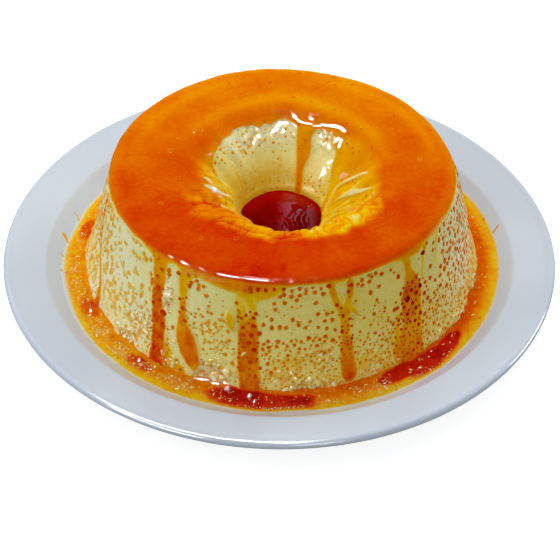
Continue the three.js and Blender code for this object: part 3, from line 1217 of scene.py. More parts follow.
    def _caramel(self, name: str, gloss: Gloss, mottle: float, ripple: float,
                 ground: str = "") -> Material:
        """Caramel whose colour follows its painted depth and thins out at its edge.

        Args:
            name: The material's name.
            gloss: Its constant values.
            mottle: How much its depth varies.
            ripple: Height of its ripples, in millimetres.
            ground: Screen colour of what shows through where it is thin; custard if empty.

        Returns:
            The material.
        """
        material, write, shader = new_material(name, gloss)
        coords = write.coords()
        tone = write.group(self.tones.caramel, Depth=write.attribute("depth"), Mottle=mottle)
        specks = write.group(self.tones.pinholes, Density=write.attribute("specks"), Scale=330.0)
        colour = write.mix(write.times(specks.outputs["Mask"], 0.55), tone.outputs["Color"], linear("CE3C00"))
        froth = write.group(self.tones.pinholes, Density=write.attribute("froth"), Scale=880.0)
        colour = write.mix(write.times(froth.outputs["Mask"], 0.55), colour, linear("F4E2A0"))
        cover = write.attribute("cover")
        if ground:
            under = linear(ground)
        else:
            under = write.group(self.tones.custard, Warmth=write.attribute("warm")).outputs["Color"]
        write.feed(shader, Base_Color=write.mix(write.remap(cover, 0.05, 1.0), under, colour))
        broad, fine = write.noise(coords, 120.0, 2.0), write.noise(coords, 520.0, 2.0)
        wavy = write.math("ADD", broad, write.times(fine, 0.16))
        height = write.math("ADD", wavy, write.times(specks.outputs["Height"], 0.04))
        add_bump(write, shader, height, ripple, 1.0)
        smoothest, roughest = gloss.roughness * 0.75, gloss.roughness * 1.3
        rough = write.remap(write.noise(coords, 200.0, 2.0), 0.35, 0.65, smoothest, roughest)
        write.feed(shader, Roughness=rough)
        write.feed(shader, Alpha=write.remap(cover, 0.02, 0.05, smooth_step=False))
        coat = write.math("MULTIPLY", write.attribute("wet"), 1.0, clamp=True)
        write.feed(shader, Coat_Weight=coat)
        return material

    def _pit(self) -> Material:
        """Caramel that has filled a pit in the custard.

        Returns:
            The material.
        """
        gloss = Gloss(0.25, 1.42, 0.0, 0.06, 0.04, 0.05, 0.6)
        material, write, shader = new_material("caramel_in_pits", gloss)
        hollow = write.attribute("hollow")
        tone = write.group(self.tones.caramel, Depth=write.attribute("depth"), Mottle=0.14)
        write.feed(shader, Base_Color=tone.outputs["Color"])
        add_bump(write, shader, write.times(hollow, -1.0), 0.25, 1.0)
        return material

    def _bubble(self) -> Material:
        """Skin of a bubble on caramel.

        Returns:
            The material.
        """
        material, write, shader = new_material("caramel_bubble", Gloss(0.08, 1.4, 0.5, 1.0, 0.02))
        tone = write.group(self.tones.caramel, Depth=write.times(write.attribute("soak"), 0.6), Mottle=0.1)
        write.feed(shader, Base_Color=tone.outputs["Color"])
        return material


# ---------------------------------------------------------------- plate


@dataclass
class Plate:
    """The dinner plate, turned round its axis."""

    radius: float = 140.0
    lip_radius: float = 2.3
    lip_height: float = 15.9
    rim_inner: float = 118.6
    rim_inner_height: float = 15.2
    floor_radius: float = 105.0
    floor_height: float = 7.0
    foot_outer: float = 84.0
    foot_inner: float = 77.0
    underside: float = 3.0
    columns: int = 288

    def well(self, radius: Array) -> Array:
        """Return the height of the upper surface inside the rim.

        Args:
            radius: Distances from the axis.

        Returns:
            Heights.
        """
        rise = (np.asarray(radius, float) - self.floor_radius) / (self.rim_inner - self.floor_radius)
        rise = np.clip(rise, 0, 1)
        curve = rise**1.75 * (1.62 - 0.62 * rise)
        return self.floor_height + (self.rim_inner_height - self.floor_height) * curve

    def top(self, radius: Array) -> Array:
        """Return the height of the upper surface, rim included.

        Args:
            radius: Distances from the axis.

        Returns:
            Heights.
        """
        radius = np.asarray(radius, float)
        inner, outer = self.rim_inner - 1.2, self.radius - self.lip_radius
        along = np.clip((radius - self.rim_inner) / (outer - self.rim_inner), 0, 1)
        rim = self.rim_inner_height + 0.15 + 2.7 * along**1.1
        blend = smooth(radius, inner, self.rim_inner + 1.6)
        return self.well(radius) * (1 - blend) + rim * blend

    def outline(self) -> Array:
        """Return the section from under the middle round the lip to the middle of the floor.

        Returns:
            Its points, each (distance from the axis, height).
        """
        inner, outer = self.foot_inner, self.foot_outer
        pts = [
            (0.0, self.underside), (inner - 4, self.underside), (inner - 1.6, self.underside - 0.5),
            (inner - 0.6, 0.9), (inner + 0.4, 0.12), (inner + 1.4, 0.0), (outer - 1.4, 0.0),
            (outer - 0.4, 0.14), (outer + 0.7, 1.0), (outer + 3.0, 2.5), (outer + 8.0, 3.3),
        ]
        pts += [(r, 4.4 + 6.2 * ((r - 108.0) / 16.0) ** 1.15) for r in (108.0, 112.0, 116.0, 120.0, 124.0)]
        lip = (self.radius - self.lip_radius, self.lip_height)
        for degrees in range(-62, 112, 12):
            a = math.radians(degrees)
            pts.append((lip[0] + self.lip_radius * math.cos(a), lip[1] + self.lip_radius * math.sin(a)))
        rim, bend = np.arange(136.0, 121.0, -2.0), np.arange(120.4, 104.6, -0.8)
        for r in np.concatenate([rim, bend, [104.0, 96.0, 60.0, 0.0]]):
            pts.append((float(r), float(self.top(np.array([r]))[0])))
        return np.array(pts)

    def build(self) -> Piece:
        """Turn the outline into the plate.

        Returns:
            The plate.
        """
        outline = self.outline()
        rows = len(outline) - 2
        angle = np.arange(self.columns) / self.columns * 2 * np.pi
        body = outline[1:-1]
        ring = circled(angle[:, None], body[:, 0], body[:, 1]).reshape(-1, 3)
        points = np.vstack([ring, [[0, 0, outline[0, 1]], [0, 0, outline[-1, 1]]]])
        obj = new_object("dinner_plate", points, capped_faces(self.columns, rows))
        face_outward(obj)
        return obj


PLATE = Plate()


# ---------------------------------------------------------------- runs of caramel


@dataclass(frozen=True)
class Run:
    """Caramel that has run down the wall.

    Attributes:
        path: Places it passes, each (bearing from the front, height, half width,
            depth of colour from 0 to 1, thickness).
    """

    path: Table

    def here(self, front: Array, height: Array) -> tuple[Array, Array, Array]:
        """Return how far inside the run places of the wall are, and its depth and thickness there."""
        inside, values = follow(self.path, front, height, math.pi / 180.0 * WALL_RADIUS, 1.0)
        return inside, values[:, 0], values[:, 1]


RUNS: tuple[Run, ...] = (
    Run((
        (-79, 63, 2.6, 0.34, 0.2), (-77.5, 52, 2.2, 0.42, 0.2), (-75, 40, 1.9, 0.44, 0.2),
        (-69, 25, 2.2, 0.44, 0.4), (-67, 12, 3.2, 0.6, 0.6),
    )),
    Run((
        (-41, 64, 5.6, 0.32, 0.15), (-40.2, 55, 4.6, 0.44, 0.15), (-40, 44, 4.6, 0.54, 0.2),
        (-38.2, 34, 5.0, 0.6, 0.25), (-37.2, 22, 4.8, 0.66, 0.3), (-36.6, 9, 5.2, 0.72, 0.4),
    )),
    Run((
        (-31, 64, 5.0, 0.26, 0.15), (-30.6, 52, 2.6, 0.27, 0.15), (-30.2, 43, 2.8, 0.34, 0.2),
        (-29.4, 36, 4.4, 0.44, 0.4), (-28.2, 29, 6.0, 0.54, 0.7), (-26.4, 23, 5.6, 0.56, 0.8),
        (-25.0, 18, 3.6, 0.46, 0.6), (-24.6, 15, 1.6, 0.4, 0.4),
    )),
    Run((
        (-12.6, 60, 3.0, 0.22, 0.1), (-11.8, 53, 3.4, 0.17, 0.1), (-11.2, 47, 3.2, 0.2, 0.1),
        (-10.5, 42, 2.6, 0.3, 0.1),
    )),
    Run((
        (-15.4, 50, 1.4, 0.24, 0.6), (-15.0, 47.5, 3.0, 0.2, 1.6), (-14.6, 44.5, 2.8, 0.2, 1.9),
        (-14.0, 41.5, 1.2, 0.28, 0.9),
    )),
    Run((
        (-34.4, 27, 1.6, 0.14, 0.1), (-33.6, 20, 2.6, 0.16, 0.1), (-31.4, 12, 5.2, 0.24, 0.15),
        (-28, 9, 4.0, 0.26, 0.15),
    )),
    Run((
        (21.2, 53, 1.4, 0.34, 0.8), (22.4, 50, 2.4, 0.3, 1.3), (23.6, 47, 2.0, 0.36, 1.0),
        (24.2, 45, 0.8, 0.5, 0.5),
    )),
    Run((
        (-9, 65, 8.0, 0.3, 0.15), (-8.9, 60, 5.4, 0.3, 0.15), (-8.4, 56, 3.4, 0.28, 0.15),
        (-8.3, 50, 2.6, 0.27, 0.15), (-8.6, 46, 3.4, 0.32, 0.15), (-9.2, 42, 6.0, 0.46, 0.2),
        (-9.2, 34, 5.6, 0.49, 0.2), (-9, 26, 6.2, 0.52, 0.25), (-8, 10, 5.6, 0.56, 0.3),
    )),
    Run(((-15, 64, 2.2, 0.26, 0.12), (-11.5, 61, 3.2, 0.28, 0.12), (-9, 59, 2.4, 0.3, 0.12))),
    Run(((0, 63.5, 3.0, 0.24, 0.12), (-4, 61.5, 3.2, 0.28, 0.12), (-7, 58.5, 2.4, 0.28, 0.12))),
    Run(((16, 64, 2.6, 0.36, 0.15), (17, 56, 2.4, 0.34, 0.15), (19.5, 49, 3.6, 0.33, 0.2))),
    Run((
        (22.5, 63, 2.6, 0.36, 0.15), (22, 56, 2.4, 0.34, 0.15), (19.8, 49, 3.6, 0.33, 0.2),
        (19.8, 38, 3.3, 0.34, 0.2), (20, 27, 4.2, 0.48, 0.3), (20, 17, 4.9, 0.56, 0.7),
        (20, 15, 4.0, 0.6, 0.7),
    )),
    Run((
        (43.5, 65, 4.4, 0.3, 0.15), (44, 58, 2.8, 0.28, 0.15), (44.4, 53, 4.4, 0.4, 0.15),
        (44.6, 47, 7.0, 0.48, 0.15), (43.6, 40, 7.8, 0.45, 0.2), (43.4, 32, 6.6, 0.42, 0.2),
        (42, 24, 7.6, 0.36, 0.2), (41, 16, 8.4, 0.4, 0.2), (40.5, 8, 9.5, 0.5, 0.3),
    )),
    Run(((38, 36, 1.6, 0.34, 0.12), (36.5, 26, 2.4, 0.34, 0.12), (36, 14, 3.2, 0.4, 0.15))),
    Run(((53, 65, 2.2, 0.25, 0.2), (50.5, 56, 1.3, 0.22, 0.15), (49, 47, 1.2, 0.25, 0.15))),
    Run(((61, 66, 1.6, 0.22, 0.2), (58, 58, 1.1, 0.2, 0.15), (56, 50, 1.0, 0.2, 0.15))),
    Run(((97, 64, 3.5, 0.36, 0.3), (98, 45, 2.4, 0.36, 0.3), (98, 32, 3.4, 0.5, 0.7))),
    Run(((128, 64, 5.0, 0.36, 0.3), (127, 44, 3.4, 0.42, 0.3), (127, 14, 4.6, 0.56, 0.7))),
    Run(((161, 64, 3.8, 0.34, 0.3), (160, 50, 2.4, 0.36, 0.3), (160, 41, 3.0, 0.5, 0.7))),
    Run(((-122, 64, 5.2, 0.36, 0.3), (-123, 44, 3.2, 0.42, 0.3), (-122, 12, 4.8, 0.56, 0.7))),
    Run(((-151, 64, 3.8, 0.34, 0.3), (-150, 48, 2.4, 0.36, 0.3), (-150, 36, 3.4, 0.5, 0.7))),
)


def run_field(front: Array, height: Array) -> Array:
    """Return how far inside any run each place of the wall is, in millimetres."""
    return np.max([run.here(front, height)[0] for run in RUNS], axis=0)


def bead(inside: Array, width: float) -> Array:
    """Return the height of a rounded edge, from 0 at the edge to 1 at its full width."""
    return np.sqrt(1.0 - (1.0 - np.clip(inside / width, 0.0, 1.0)) ** 2)


@dataclass
class FilmHere:
    """The film at each place of the ring.

    Attributes:
        reach: Distance inside its edge, in millimetres.
        depth: Depth of its colour.
        cover: How much it hides what is under it.
        lift: Its thickness.
        wet: How glassy it is.
    """

    reach: Array
    depth: Array
    cover: Array
    lift: Array
    wet: Array


@dataclass
class Film:
    """How far the caramel film reaches, and how deep it is, all over the ring."""

    # Bearing from the front, and height of the film's lower edge on the wall
    hem: Table = (
        (-140, 64.0), (-100, 64.4), (-75, 64.8), (-62, 65.4), (-50, 65.0), (-45, 63.2), (-41, 61.5),
        (-36, 64.2), (-31, 61.4), (-26, 62.8), (-22, 61.8), (-18, 60.8), (-14, 60.0), (-10, 58.6),
        (-5, 60.4), (0, 63.4), (7, 64.6), (14, 64.0), (20, 64.4), (27, 65.2), (38, 65.0), (43, 62.5),
        (48, 62.4), (53, 64.6), (62, 64.8), (80, 65.2), (120, 64.2),
    )
    # Angle from +X, and depth of colour on the skin at the front of the mouth
    lip_tones: Table = (
        (-180, 0.44), (-150, 0.58), (-128, 0.54), (-112, 0.42), (-102, 0.36), (-93, 0.6), (-84, 0.48),
        (-76, 0.24), (-50, 0.24), (-35, 0.36), (180, 0.4),
    )
    # Bearing, half width and strength of each wet place on the top's edge
    dashes: Table = (
        (-44.9, 1.0, 0.7), (-38.5, 1.8, 0.8), (-32.3, 2.0, 0.85), (-26.4, 0.8, 0.4), (-17.2, 4.0, 0.95),
        (-7.9, 4.5, 1.0), (-1.4, 0.5, 0.5), (3.6, 0.5, 0.3), (11.0, 0.4, 0.3),
    )
    thickness: float = 1.2
    unseen: float = 1.7

    def top_depth(self, x: Array, y: Array, flat: Array) -> Array:
        """Return the depth of colour on the ring's flat top.

        Args:
            x: Places across, from the ring's axis.
            y: Places towards the back.
            flat: The custard's points there.

        Returns:
            Depths between 0 and 1.
        """
        radius = np.hypot(x, y)
        deep = 0.65 - 0.0017 * y + 0.025 * soft_noise(flat, 26.0, 34, 2)
        deep += 0.012 * soft_noise(flat, 5.0, 37, 2)
        behind = smooth(y, -12.0, 34.0)
        off_band = radius - 59.0 + 0.09 * np.abs(x)
        band_in = np.exp(-((off_band / 4.0) ** 2)) * smooth(np.abs(x - 6.0), 66.0, 30.0)
        band_out = np.exp(-(((radius - 76.5) / 3.2) ** 2)) * smooth(np.abs(x), 6.0, 40.0)
        deep -= behind * (0.17 * band_in + 0.12 * band_out)
        deep -= 0.14 * smooth(radius, 79.0, 86.0) * smooth(y, -60.0, -10.0)
        deep += 0.05 * np.exp(-(((radius - 55.0) / 9.0) ** 2)) * smooth(y, -10.0, -45.0)
        deep -= 0.03 * smooth(x, -20.0, 50.0) + 0.02 * smooth(y, -40.0, -80.0)
        fleck = y + 74.6 + 0.14 * (x - 1.2) + 0.3 * soft_noise(flat, 2.0, 30)
        pale = 0.4 * bump(x - 1.6, 3.4) * bump(fleck, 1.3)
        dark = 0.14 * bump(x - 2.2, 3.6) * bump(fleck + 1.4, 1.2)
        deep -= pale - dark
        return deep

    def at(self, angle: Array, row: Array, flat: Array) -> FilmHere:
        """Return the film at each place.

        Args:
            angle: Angles in radians.
            row: Rows of the section.
            flat: The custard's points there.

        Returns:
            Its reach, depth, cover, thickness and shine.
        """
        degrees = np.degrees(angle)
        front, z = degrees + 90.0, flat[:, 2]
        x, y = flat[:, 0] - FORM.centre[0], flat[:, 1] - FORM.centre[1]
        ragged = 0.75 * soft_noise(flat, 6.0, 31, 2) + 0.3 * soft_noise(flat, 1.9, 32)
        wall = row < 8.4

        # The sheet over the top, from its hem on the wall into the hole
        radius = np.hypot(x, y)
        hem = read(self.hem, turn(front, 0.0))
        hem = (z - hem) * (1 - smooth(row, 7.8, 8.6)) + 3.0 * smooth(row, 7.8, 8.6)
        hem += 0.9 * soft_noise(flat, 8.0, 33, 2) + 0.7 * ragged
        inner = HOLE.inside(degrees, row, radius) + 1.1 * ragged * smooth(row, 16.5, 14.0) + 0.3 * ragged
        frayed = bump(turn(degrees, 116.0), 44.0) + bump(turn(degrees, 58.0), 12.0)
        inner += frayed * (1.6 * soft_noise(flat, 4.6, 41, 2) + 1.6 * soft_noise(flat, 2.0, 48))
        stream_tone = np.zeros(len(row))
        for stream in HOLE.streams:
            inside, values = follow(stream, degrees, row, np.radians(radius), HOLE.mm_per_row)
            stream_tone = np.where(inside > np.maximum(inner, -0.6), values[:, 0], stream_tone)
            inner = np.maximum(inner, inside + 0.2 * ragged)
        inner = np.where(row > 18.4, -1.0, inner)
        outside = row < 11.0
        sheet = np.where(outside, hem, inner)
        wrinkle = soft_noise(flat * np.array([1.0, 1.0, 0.45]), 5.0, 35, 3)
        funnel = smooth(row, 12.3, 13.9)
        deep = self.top_depth(x, y, flat)
        pleat, drawn = FORM.pleats(angle, row)
        thin = 0.36 + 0.14 * wrinkle - 0.16 * pleat * smooth(drawn, 0.0, 0.4)
        yellow = bump(turn(degrees, 200.0), 60.0) + bump(turn(degrees, -22.0), 50.0)
        thin -= 0.1 * np.minimum(yellow, 1.0) * smooth(row, 13.2, 15.0)
        thin -= 0.04 * bump(turn(degrees, 36.0), 26.0) * smooth(row, 13.4, 14.4)
        thin = np.where(stream_tone > 0, stream_tone + 0.08 * wrinkle, thin)
        deep = deep * (1 - funnel) + thin * funnel
        there, lines, swelling = FORM.lip(angle, row)
        base = read(self.lip_tones, turn(degrees, 0.0))
        lip_tone = base + 0.2 * wrinkle + 0.26 * lines - 0.18 * swelling
        deep = deep * (1 - there) + lip_tone * there
        bare = HOLE.folds(degrees, row, radius)[1]
        over, raised = smooth(row, 7.9, 8.8), smooth(row, 7.0, 9.4)
        hem_depth = 0.14 + 0.3 * smooth(hem, 0.0, 3.0) + 0.12 * wrinkle
        past_hem = hem_depth * (1 - over) + deep * over
        depth = np.where(outside, past_hem, deep * (0.5 + 0.5 * smooth(inner, 0.0, 1.2)))
        cover = np.where(outside, smooth(hem, -0.3, 1.2), smooth(inner, -0.3, 0.7) * (1.0 - 0.95 * bare))
        lift = np.where(outside, 0.1 * bead(hem, 1.5) * (1 - raised) + self.thickness * raised,
                        self.thickness * (1 - 0.7 * funnel) * bead(inner, 1.4))
        around_rim = circled(angle, 86.0, 0.0)
        lift += 0.34 * bump(row - 8.6, 1.1) * soft_noise(around_rim, 6.0, 38, 3)
        # A thicker drop hangs at the back of the mouth
        drop = smooth(row, 12.6, 13.6) * smooth(row, 14.25, 13.95) * bump(turn(degrees, 75.0), 24.0)
        lift += 0.85 * drop * smooth(inner, -0.2, 0.8)

        mouth = 0.04 + 0.75 * smooth(row, 12.4, 13.4) * smooth(row, 15.6, 14.4)
        wet = mouth * (0.6 + 0.4 * soft_noise(flat, 5.0, 40))
        lined = np.zeros(len(row))
        for at, half, share in self.dashes:
            lined += share * smooth(bump(turn(front, at), 1.25 * half), 0.05, 0.45)
        wet += lined * bump(row - 8.6, 0.62) * (0.9 + 0.25 * soft_noise(around_rim, 1.6, 40, 2))
        wet += 0.5 * bump(row - 8.6, 0.45) * smooth(soft_noise(around_rim, 1.6, 45, 2), 0.42, 0.6)

        # Runs down the wall
        blotch = soft_noise(flat, 3.4, 39, 2)
        reach = sheet
        for run in RUNS:
            inside, tone, thick = run.here(front, z)
            inside = np.where(wall, inside + ragged, -9.0)
            body = tone + 0.12 * wrinkle + (0.03 + 0.3 * tone) * blotch
            reach = np.maximum(reach, inside)
            depth = np.maximum(depth, body * (0.45 + 0.55 * smooth(inside, 0.0, 2.2)) * (inside > -0.6))
            cover = np.maximum(cover, smooth(inside, -0.4, 1.5))
            rim = 1.0 + 0.35 * bump(inside - 1.1, 1.1) * smooth(thick, 0.35, 0.7)
            lift = np.maximum(lift, thick * bead(inside, 1.6) * rim)
        depth, lift = np.clip(depth, 0.03, 0.9), np.maximum(lift, 0.0)
        return FilmHere(reach + self.unseen, depth, cover, lift, np.clip(wet, 0, 1))


FILM = Film()


@dataclass
class CaramelTop:
    """The caramel that lies on the top, in the funnel and down the wall."""

    columns: int = 608

    def rows(self) -> Array:
        """Return the rows of the sheet's grid, closer together where it bends.

        Returns:
            Rows of the section.
        """
        return np.concatenate([
            np.linspace(0.75, 6.6, 52, endpoint=False), np.linspace(6.6, 9.6, 14, endpoint=False),
            np.linspace(9.6, 11.0, 5, endpoint=False), np.linspace(11.0, 18.5, 56),
        ])

    def build(self) -> Piece:
        """Cut the sheet out of the grid where the film's edge runs.

        Returns:
            The film as one closed thin body.
        """
        rows = self.rows()
        na, nr = self.columns, len(rows)
        angle = np.repeat(turned(np.arange(na) / na), nr)
        row = np.tile(rows, na)
        reach = FILM.at(angle, row, FORM.point(angle, row)).reach
        reach = np.where(np.abs(reach) < 0.04, 0.04, reach).reshape(na, nr)
        reach[:, 0] = np.minimum(reach[:, 0], -0.3)
        reach[:, -1] = np.minimum(reach[:, -1], -0.3)
        inside = reach > 0

        # Every kept corner and every place where the edge crosses the grid
        number = -np.ones((na, nr), int)
        number[inside] = np.arange(inside.sum())
        a_list = [angle.reshape(na, nr)[inside]]
        r_list = [row.reshape(na, nr)[inside]]
        count = int(inside.sum())
        cuts: dict[tuple[int, int, int], int] = {}
        cut_a, cut_r = [], []
        next_column = np.roll(reach, -1, axis=0)
        next_row = np.concatenate([reach[:, 1:], reach[:, -1:]], axis=1)
        for axis, other in enumerate((next_column, next_row)):
            crossing = np.argwhere((reach > 0) != (other > 0))
            for i, j in crossing:
                t = min(0.93, max(0.07, reach[i, j] / (reach[i, j] - other[i, j])))
                cuts[(int(i), int(j), axis)] = count + len(cut_a)
                cut_a.append((i + (t if axis == 0 else 0.0)) / na)
                cut_r.append(rows[j] + (t * (rows[min(j + 1, nr - 1)] - rows[j]) if axis == 1 else 0.0))
        a_all = np.concatenate(a_list + [turned(np.array(cut_a))])
        r_all = np.concatenate(r_list + [np.array(cut_r)])

        cells = []
        some = inside | np.roll(inside, -1, axis=0)
        some[:, :-1] |= some[:, 1:]
        for i, j in np.argwhere(some[:, :-1]):
            i, j = int(i), int(j)
            k = (i + 1) % na
            corners = ((i, j), (k, j), (k, j + 1), (i, j + 1))
            edges = ((i, j, 0), (k, j, 1), (i, j + 1, 0), (i, j, 1))
            ring = []
            for corner, edge in zip(corners, edges):
                if inside[corner]:
                    ring.append(number[corner])
                if edge in cuts:
                    ring.append(cuts[edge])
            if len(ring) >= 3:
                cells.append(ring)

        flat = FORM.point(a_all, r_all)
        film = FILM.at(a_all, r_all, flat)
        film.lift[count:] = 0.0
        film.cover[count:] = 0.0
        # The top lies calm while the wall and the funnel keep their relief
        calm = smooth(r_all, 7.6, 8.4) * (1.0 - smooth(r_all, 12.2, 13.4)) * (1.0 - FORM.lip(a_all, r_all)[0])
        rough_points = FORM.point(a_all, r_all, 0.03 + film.lift, 1.0)
        calm_points = FORM.point(a_all, r_all, 0.03 + film.lift, 0.3)
        upper = rough_points * (1 - calm[:, None]) + calm_points * calm[:, None]
        lower = FORM.point(a_all[:count], r_all[:count], -0.12)
        points = np.vstack([upper, lower])
        faces = list(cells)
        offset = len(a_all)
        for ring in cells:
            faces.append([v + offset if v < count else v for v in reversed(ring)])
        obj = new_object("caramel_top_and_runs", points, faces)
        specks = np.where(r_all > 8.6, 0.08 + 0.18 * smooth(soft_noise(flat, 18.0, 36), -0.1, 0.5), 0.2)
        back = bump(turn(np.degrees(a_all), 60.0), 75.0)
        specks = specks + 0.3 * back * smooth(r_all, 12.6, 13.2) * smooth(r_all, 15.8, 15.0)
        layers = {"depth": film.depth, "specks": specks, "cover": film.cover, "wet": film.wet,
                  "warm": np.clip(FORM.warmth(a_all, r_all, flat), 0.0, 1.0)}
        paint(obj, **{name: np.concatenate([values, values[:count]]) for name, values in layers.items()})
        return obj


# ---------------------------------------------------------------- custard


@dataclass
class Custard:
    """The set custard itself."""

    columns: int = 740
    # Angle from +X, half width, strength and first row of each trickle in the hole
    trickles: Table = (
        (98.5, 4.0, 0.26, 14.6), (133.0, 5.0, 0.2, 15.4), (150.0, 4.0, 0.3, 14.6), (157.0, 4.0, 0.24, 16.0),
        (112.0, 3.0, 0.19, 16.5),
    )
    # Bearing from the front, and how far round its pits the custard is stained there
    soaked: Table = (
        (-90, 2.0), (-62, 1.9), (-44, 1.5), (-22, 1.0), (0, 0.8), (60, 0.8), (90, 1.2),
    )

    def rows(self) -> Array:
        """Return the rows of its grid.

        Returns:
            Rows of the section.
        """
        return np.concatenate([
            np.linspace(0.0, 3.2, 44, endpoint=False), np.linspace(3.2, 7.0, 26, endpoint=False),
            np.linspace(7.0, 9.0, 7, endpoint=False), np.linspace(9.0, 12.0, 5, endpoint=False),
            np.linspace(12.0, 18.6, 45), [19.0],
        ])

    def build(self, pits: Sequence[tuple[float, float, float]]) -> Piece:
        """Build the ring.

        Args:
            pits: Angle, row and radius of each pit in it.

        Returns:
            The custard.
        """
        rows = self.rows()
        angle = np.repeat(turned(np.arange(self.columns) / self.columns), len(rows))
        row = np.tile(rows, self.columns)
        points = FORM.point(angle, row)
        obj = new_object("set_custard", points, ring_faces(self.columns, len(rows)))
        self._paint(obj, angle, row, points, self._halo(points, row, pits))
        return obj

    @staticmethod
    def _halo(points: Array, row: Array, pits: Sequence[tuple[float, float, float]]) -> Array:
        """Return the distance from each point's nearest pit, in millimetres.

        Args:
            points: The custard's points.
            row: Their rows.
            pits: Angle, row and radius of each pit.

        Returns:
            Distances from the pits' edges.
        """
        spots = np.array(pits)
        tree = KDTree(len(spots))
        for k, centre in enumerate(FORM.point(spots[:, 0], spots[:, 1])):
            tree.insert(centre, k)
        tree.balance()
        away = np.full(len(points), 9.0)
        for k in np.flatnonzero(row < 17.9):
            _, nearest, distance = tree.find(points[k])
            away[k] = distance - spots[nearest, 2]
        return away

    def _paint(self, obj: Piece, angle: Array, row: Array, points: Array, halo: Array) -> None:
        """Store warmth, stains, pores, mould ridges and dampness on its points.

        Args:
            obj: The custard.
            angle: Its points' angles in radians.
            row: Their rows.
            points: The points themselves.
            halo: Distances from the nearest pit's edge.
        """
        front = np.degrees(angle) + 90.0
        z = points[:, 2]
        warm = FORM.warmth(angle, row, points)
        ragged = 0.5 * soft_noise(points, 7.0, 42, 2)
        stain = 0.14 + (run_field(front, z) + ragged) * 0.25
        hem = smooth(z, 61.0, 66.0) * (0.14 + 0.45 * soft_noise(points, 12.0, 43, 2))
        wet_foot = smooth(z, 13.0, 9.0) * 0.55
        stain = np.maximum(np.maximum(stain, hem), wet_foot)
        patches = 0.28 * smooth(soft_noise(points, 16.0, 44, 2), 0.15, 0.6) * smooth(z, 60.0, 20.0)
        stain = np.maximum(stain, patches)
        soaked = read(self.soaked, turn(front, 0.0))
        stain = np.maximum(stain, (0.34 + 0.12 * soft_noise(points, 9.0, 52)) * smooth(halo, soaked, -0.2))
        degrees = np.degrees(angle)
        trickles = np.zeros(len(front))
        for at, half, strength, start in self.trickles:
            trickle = strength * bump(turn(degrees, at), half) * smooth(row, start, start + 0.5)
            trickles = np.maximum(trickles, trickle)
        inner = np.maximum(trickles, 0.2 * smooth(z, 44.0, 37.5))
        crumpled = smooth(row, 13.0, 13.5) * smooth(row, 15.2, 14.4)
        crumpled *= np.maximum(bump(turn(degrees, 122.0), 36.0), bump(turn(degrees, 62.0), 12.0))
        valley = smooth(-soft_noise(points, 2.2, 24) - 0.4 * soft_noise(points, 4.4, 23, 2), 0.0, 0.5)
        inner = np.maximum(inner, 0.42 * crumpled * valley)
        inner = np.maximum(inner, 0.26 * smooth(halo, 0.9, -0.2))
        stain = np.where(row > 12.2, inner, stain)
        pores = (0.12 + 0.5 * smooth(z, 36.0, 12.0) + 0.25 * soft_noise(points, 14.0, 46, 2)) * (row < 8.5)
        pores = np.where(row > 12.5, 0.05, pores)
        sheen = bump(turn(front, 68.0), 26.0) * (row < 8.0) * smooth(z, 12.0, 22.0)
        sheen = sheen * (0.75 + 0.5 * soft_noise(points, 9.0, 50))
        ridges = (0.25 + 0.75 * bump(turn(front, 58.0), 34.0)) * smooth(z, 12.0, 26.0) * (row < 8.0)
        mouth = smooth(row, 13.0, 13.6) * smooth(row, 15.4, 14.6) * bump(turn(degrees, 100.0), 80.0)
        broken = FORM.broken(front, z) * (row < 8.4)
        curd = FORM.curd(FORM.point(angle, row, 0.0, 0.0))
        broken = np.minimum(broken, 1.0)
        warm = warm - 0.3 * broken * smooth(curd, 0.25, 0.7)
        torn = 0.85 * smooth(curd, 0.75, 0.2) + 0.25 * soft_noise(points, 9.0, 49)
        stain = stain * (1 - 0.7 * broken) + broken * torn
        damp = np.maximum(np.maximum(mouth, 0.6 * broken), 0.9 * sheen)
        layers = {"warm": warm, "stain": stain, "pores": pores, "ridges": ridges, "damp": damp}
        paint(obj, **{name: np.clip(values, 0.0, 1.0) for name, values in layers.items()})


@dataclass(frozen=True)
class Patch:
    """A part of the wall with its own pits.

    Attributes:
        front: Bearing of its middle.
        height: Height of its middle.
        half_width: Half its width, in degrees.
        half_height: Half its height.
        size: Middle radius of its pits.
        crowd: How many there are, as a share of the closest packing.
    """

    front: float
    height: float
    half_width: float
    half_height: float
    size: float
    crowd: float


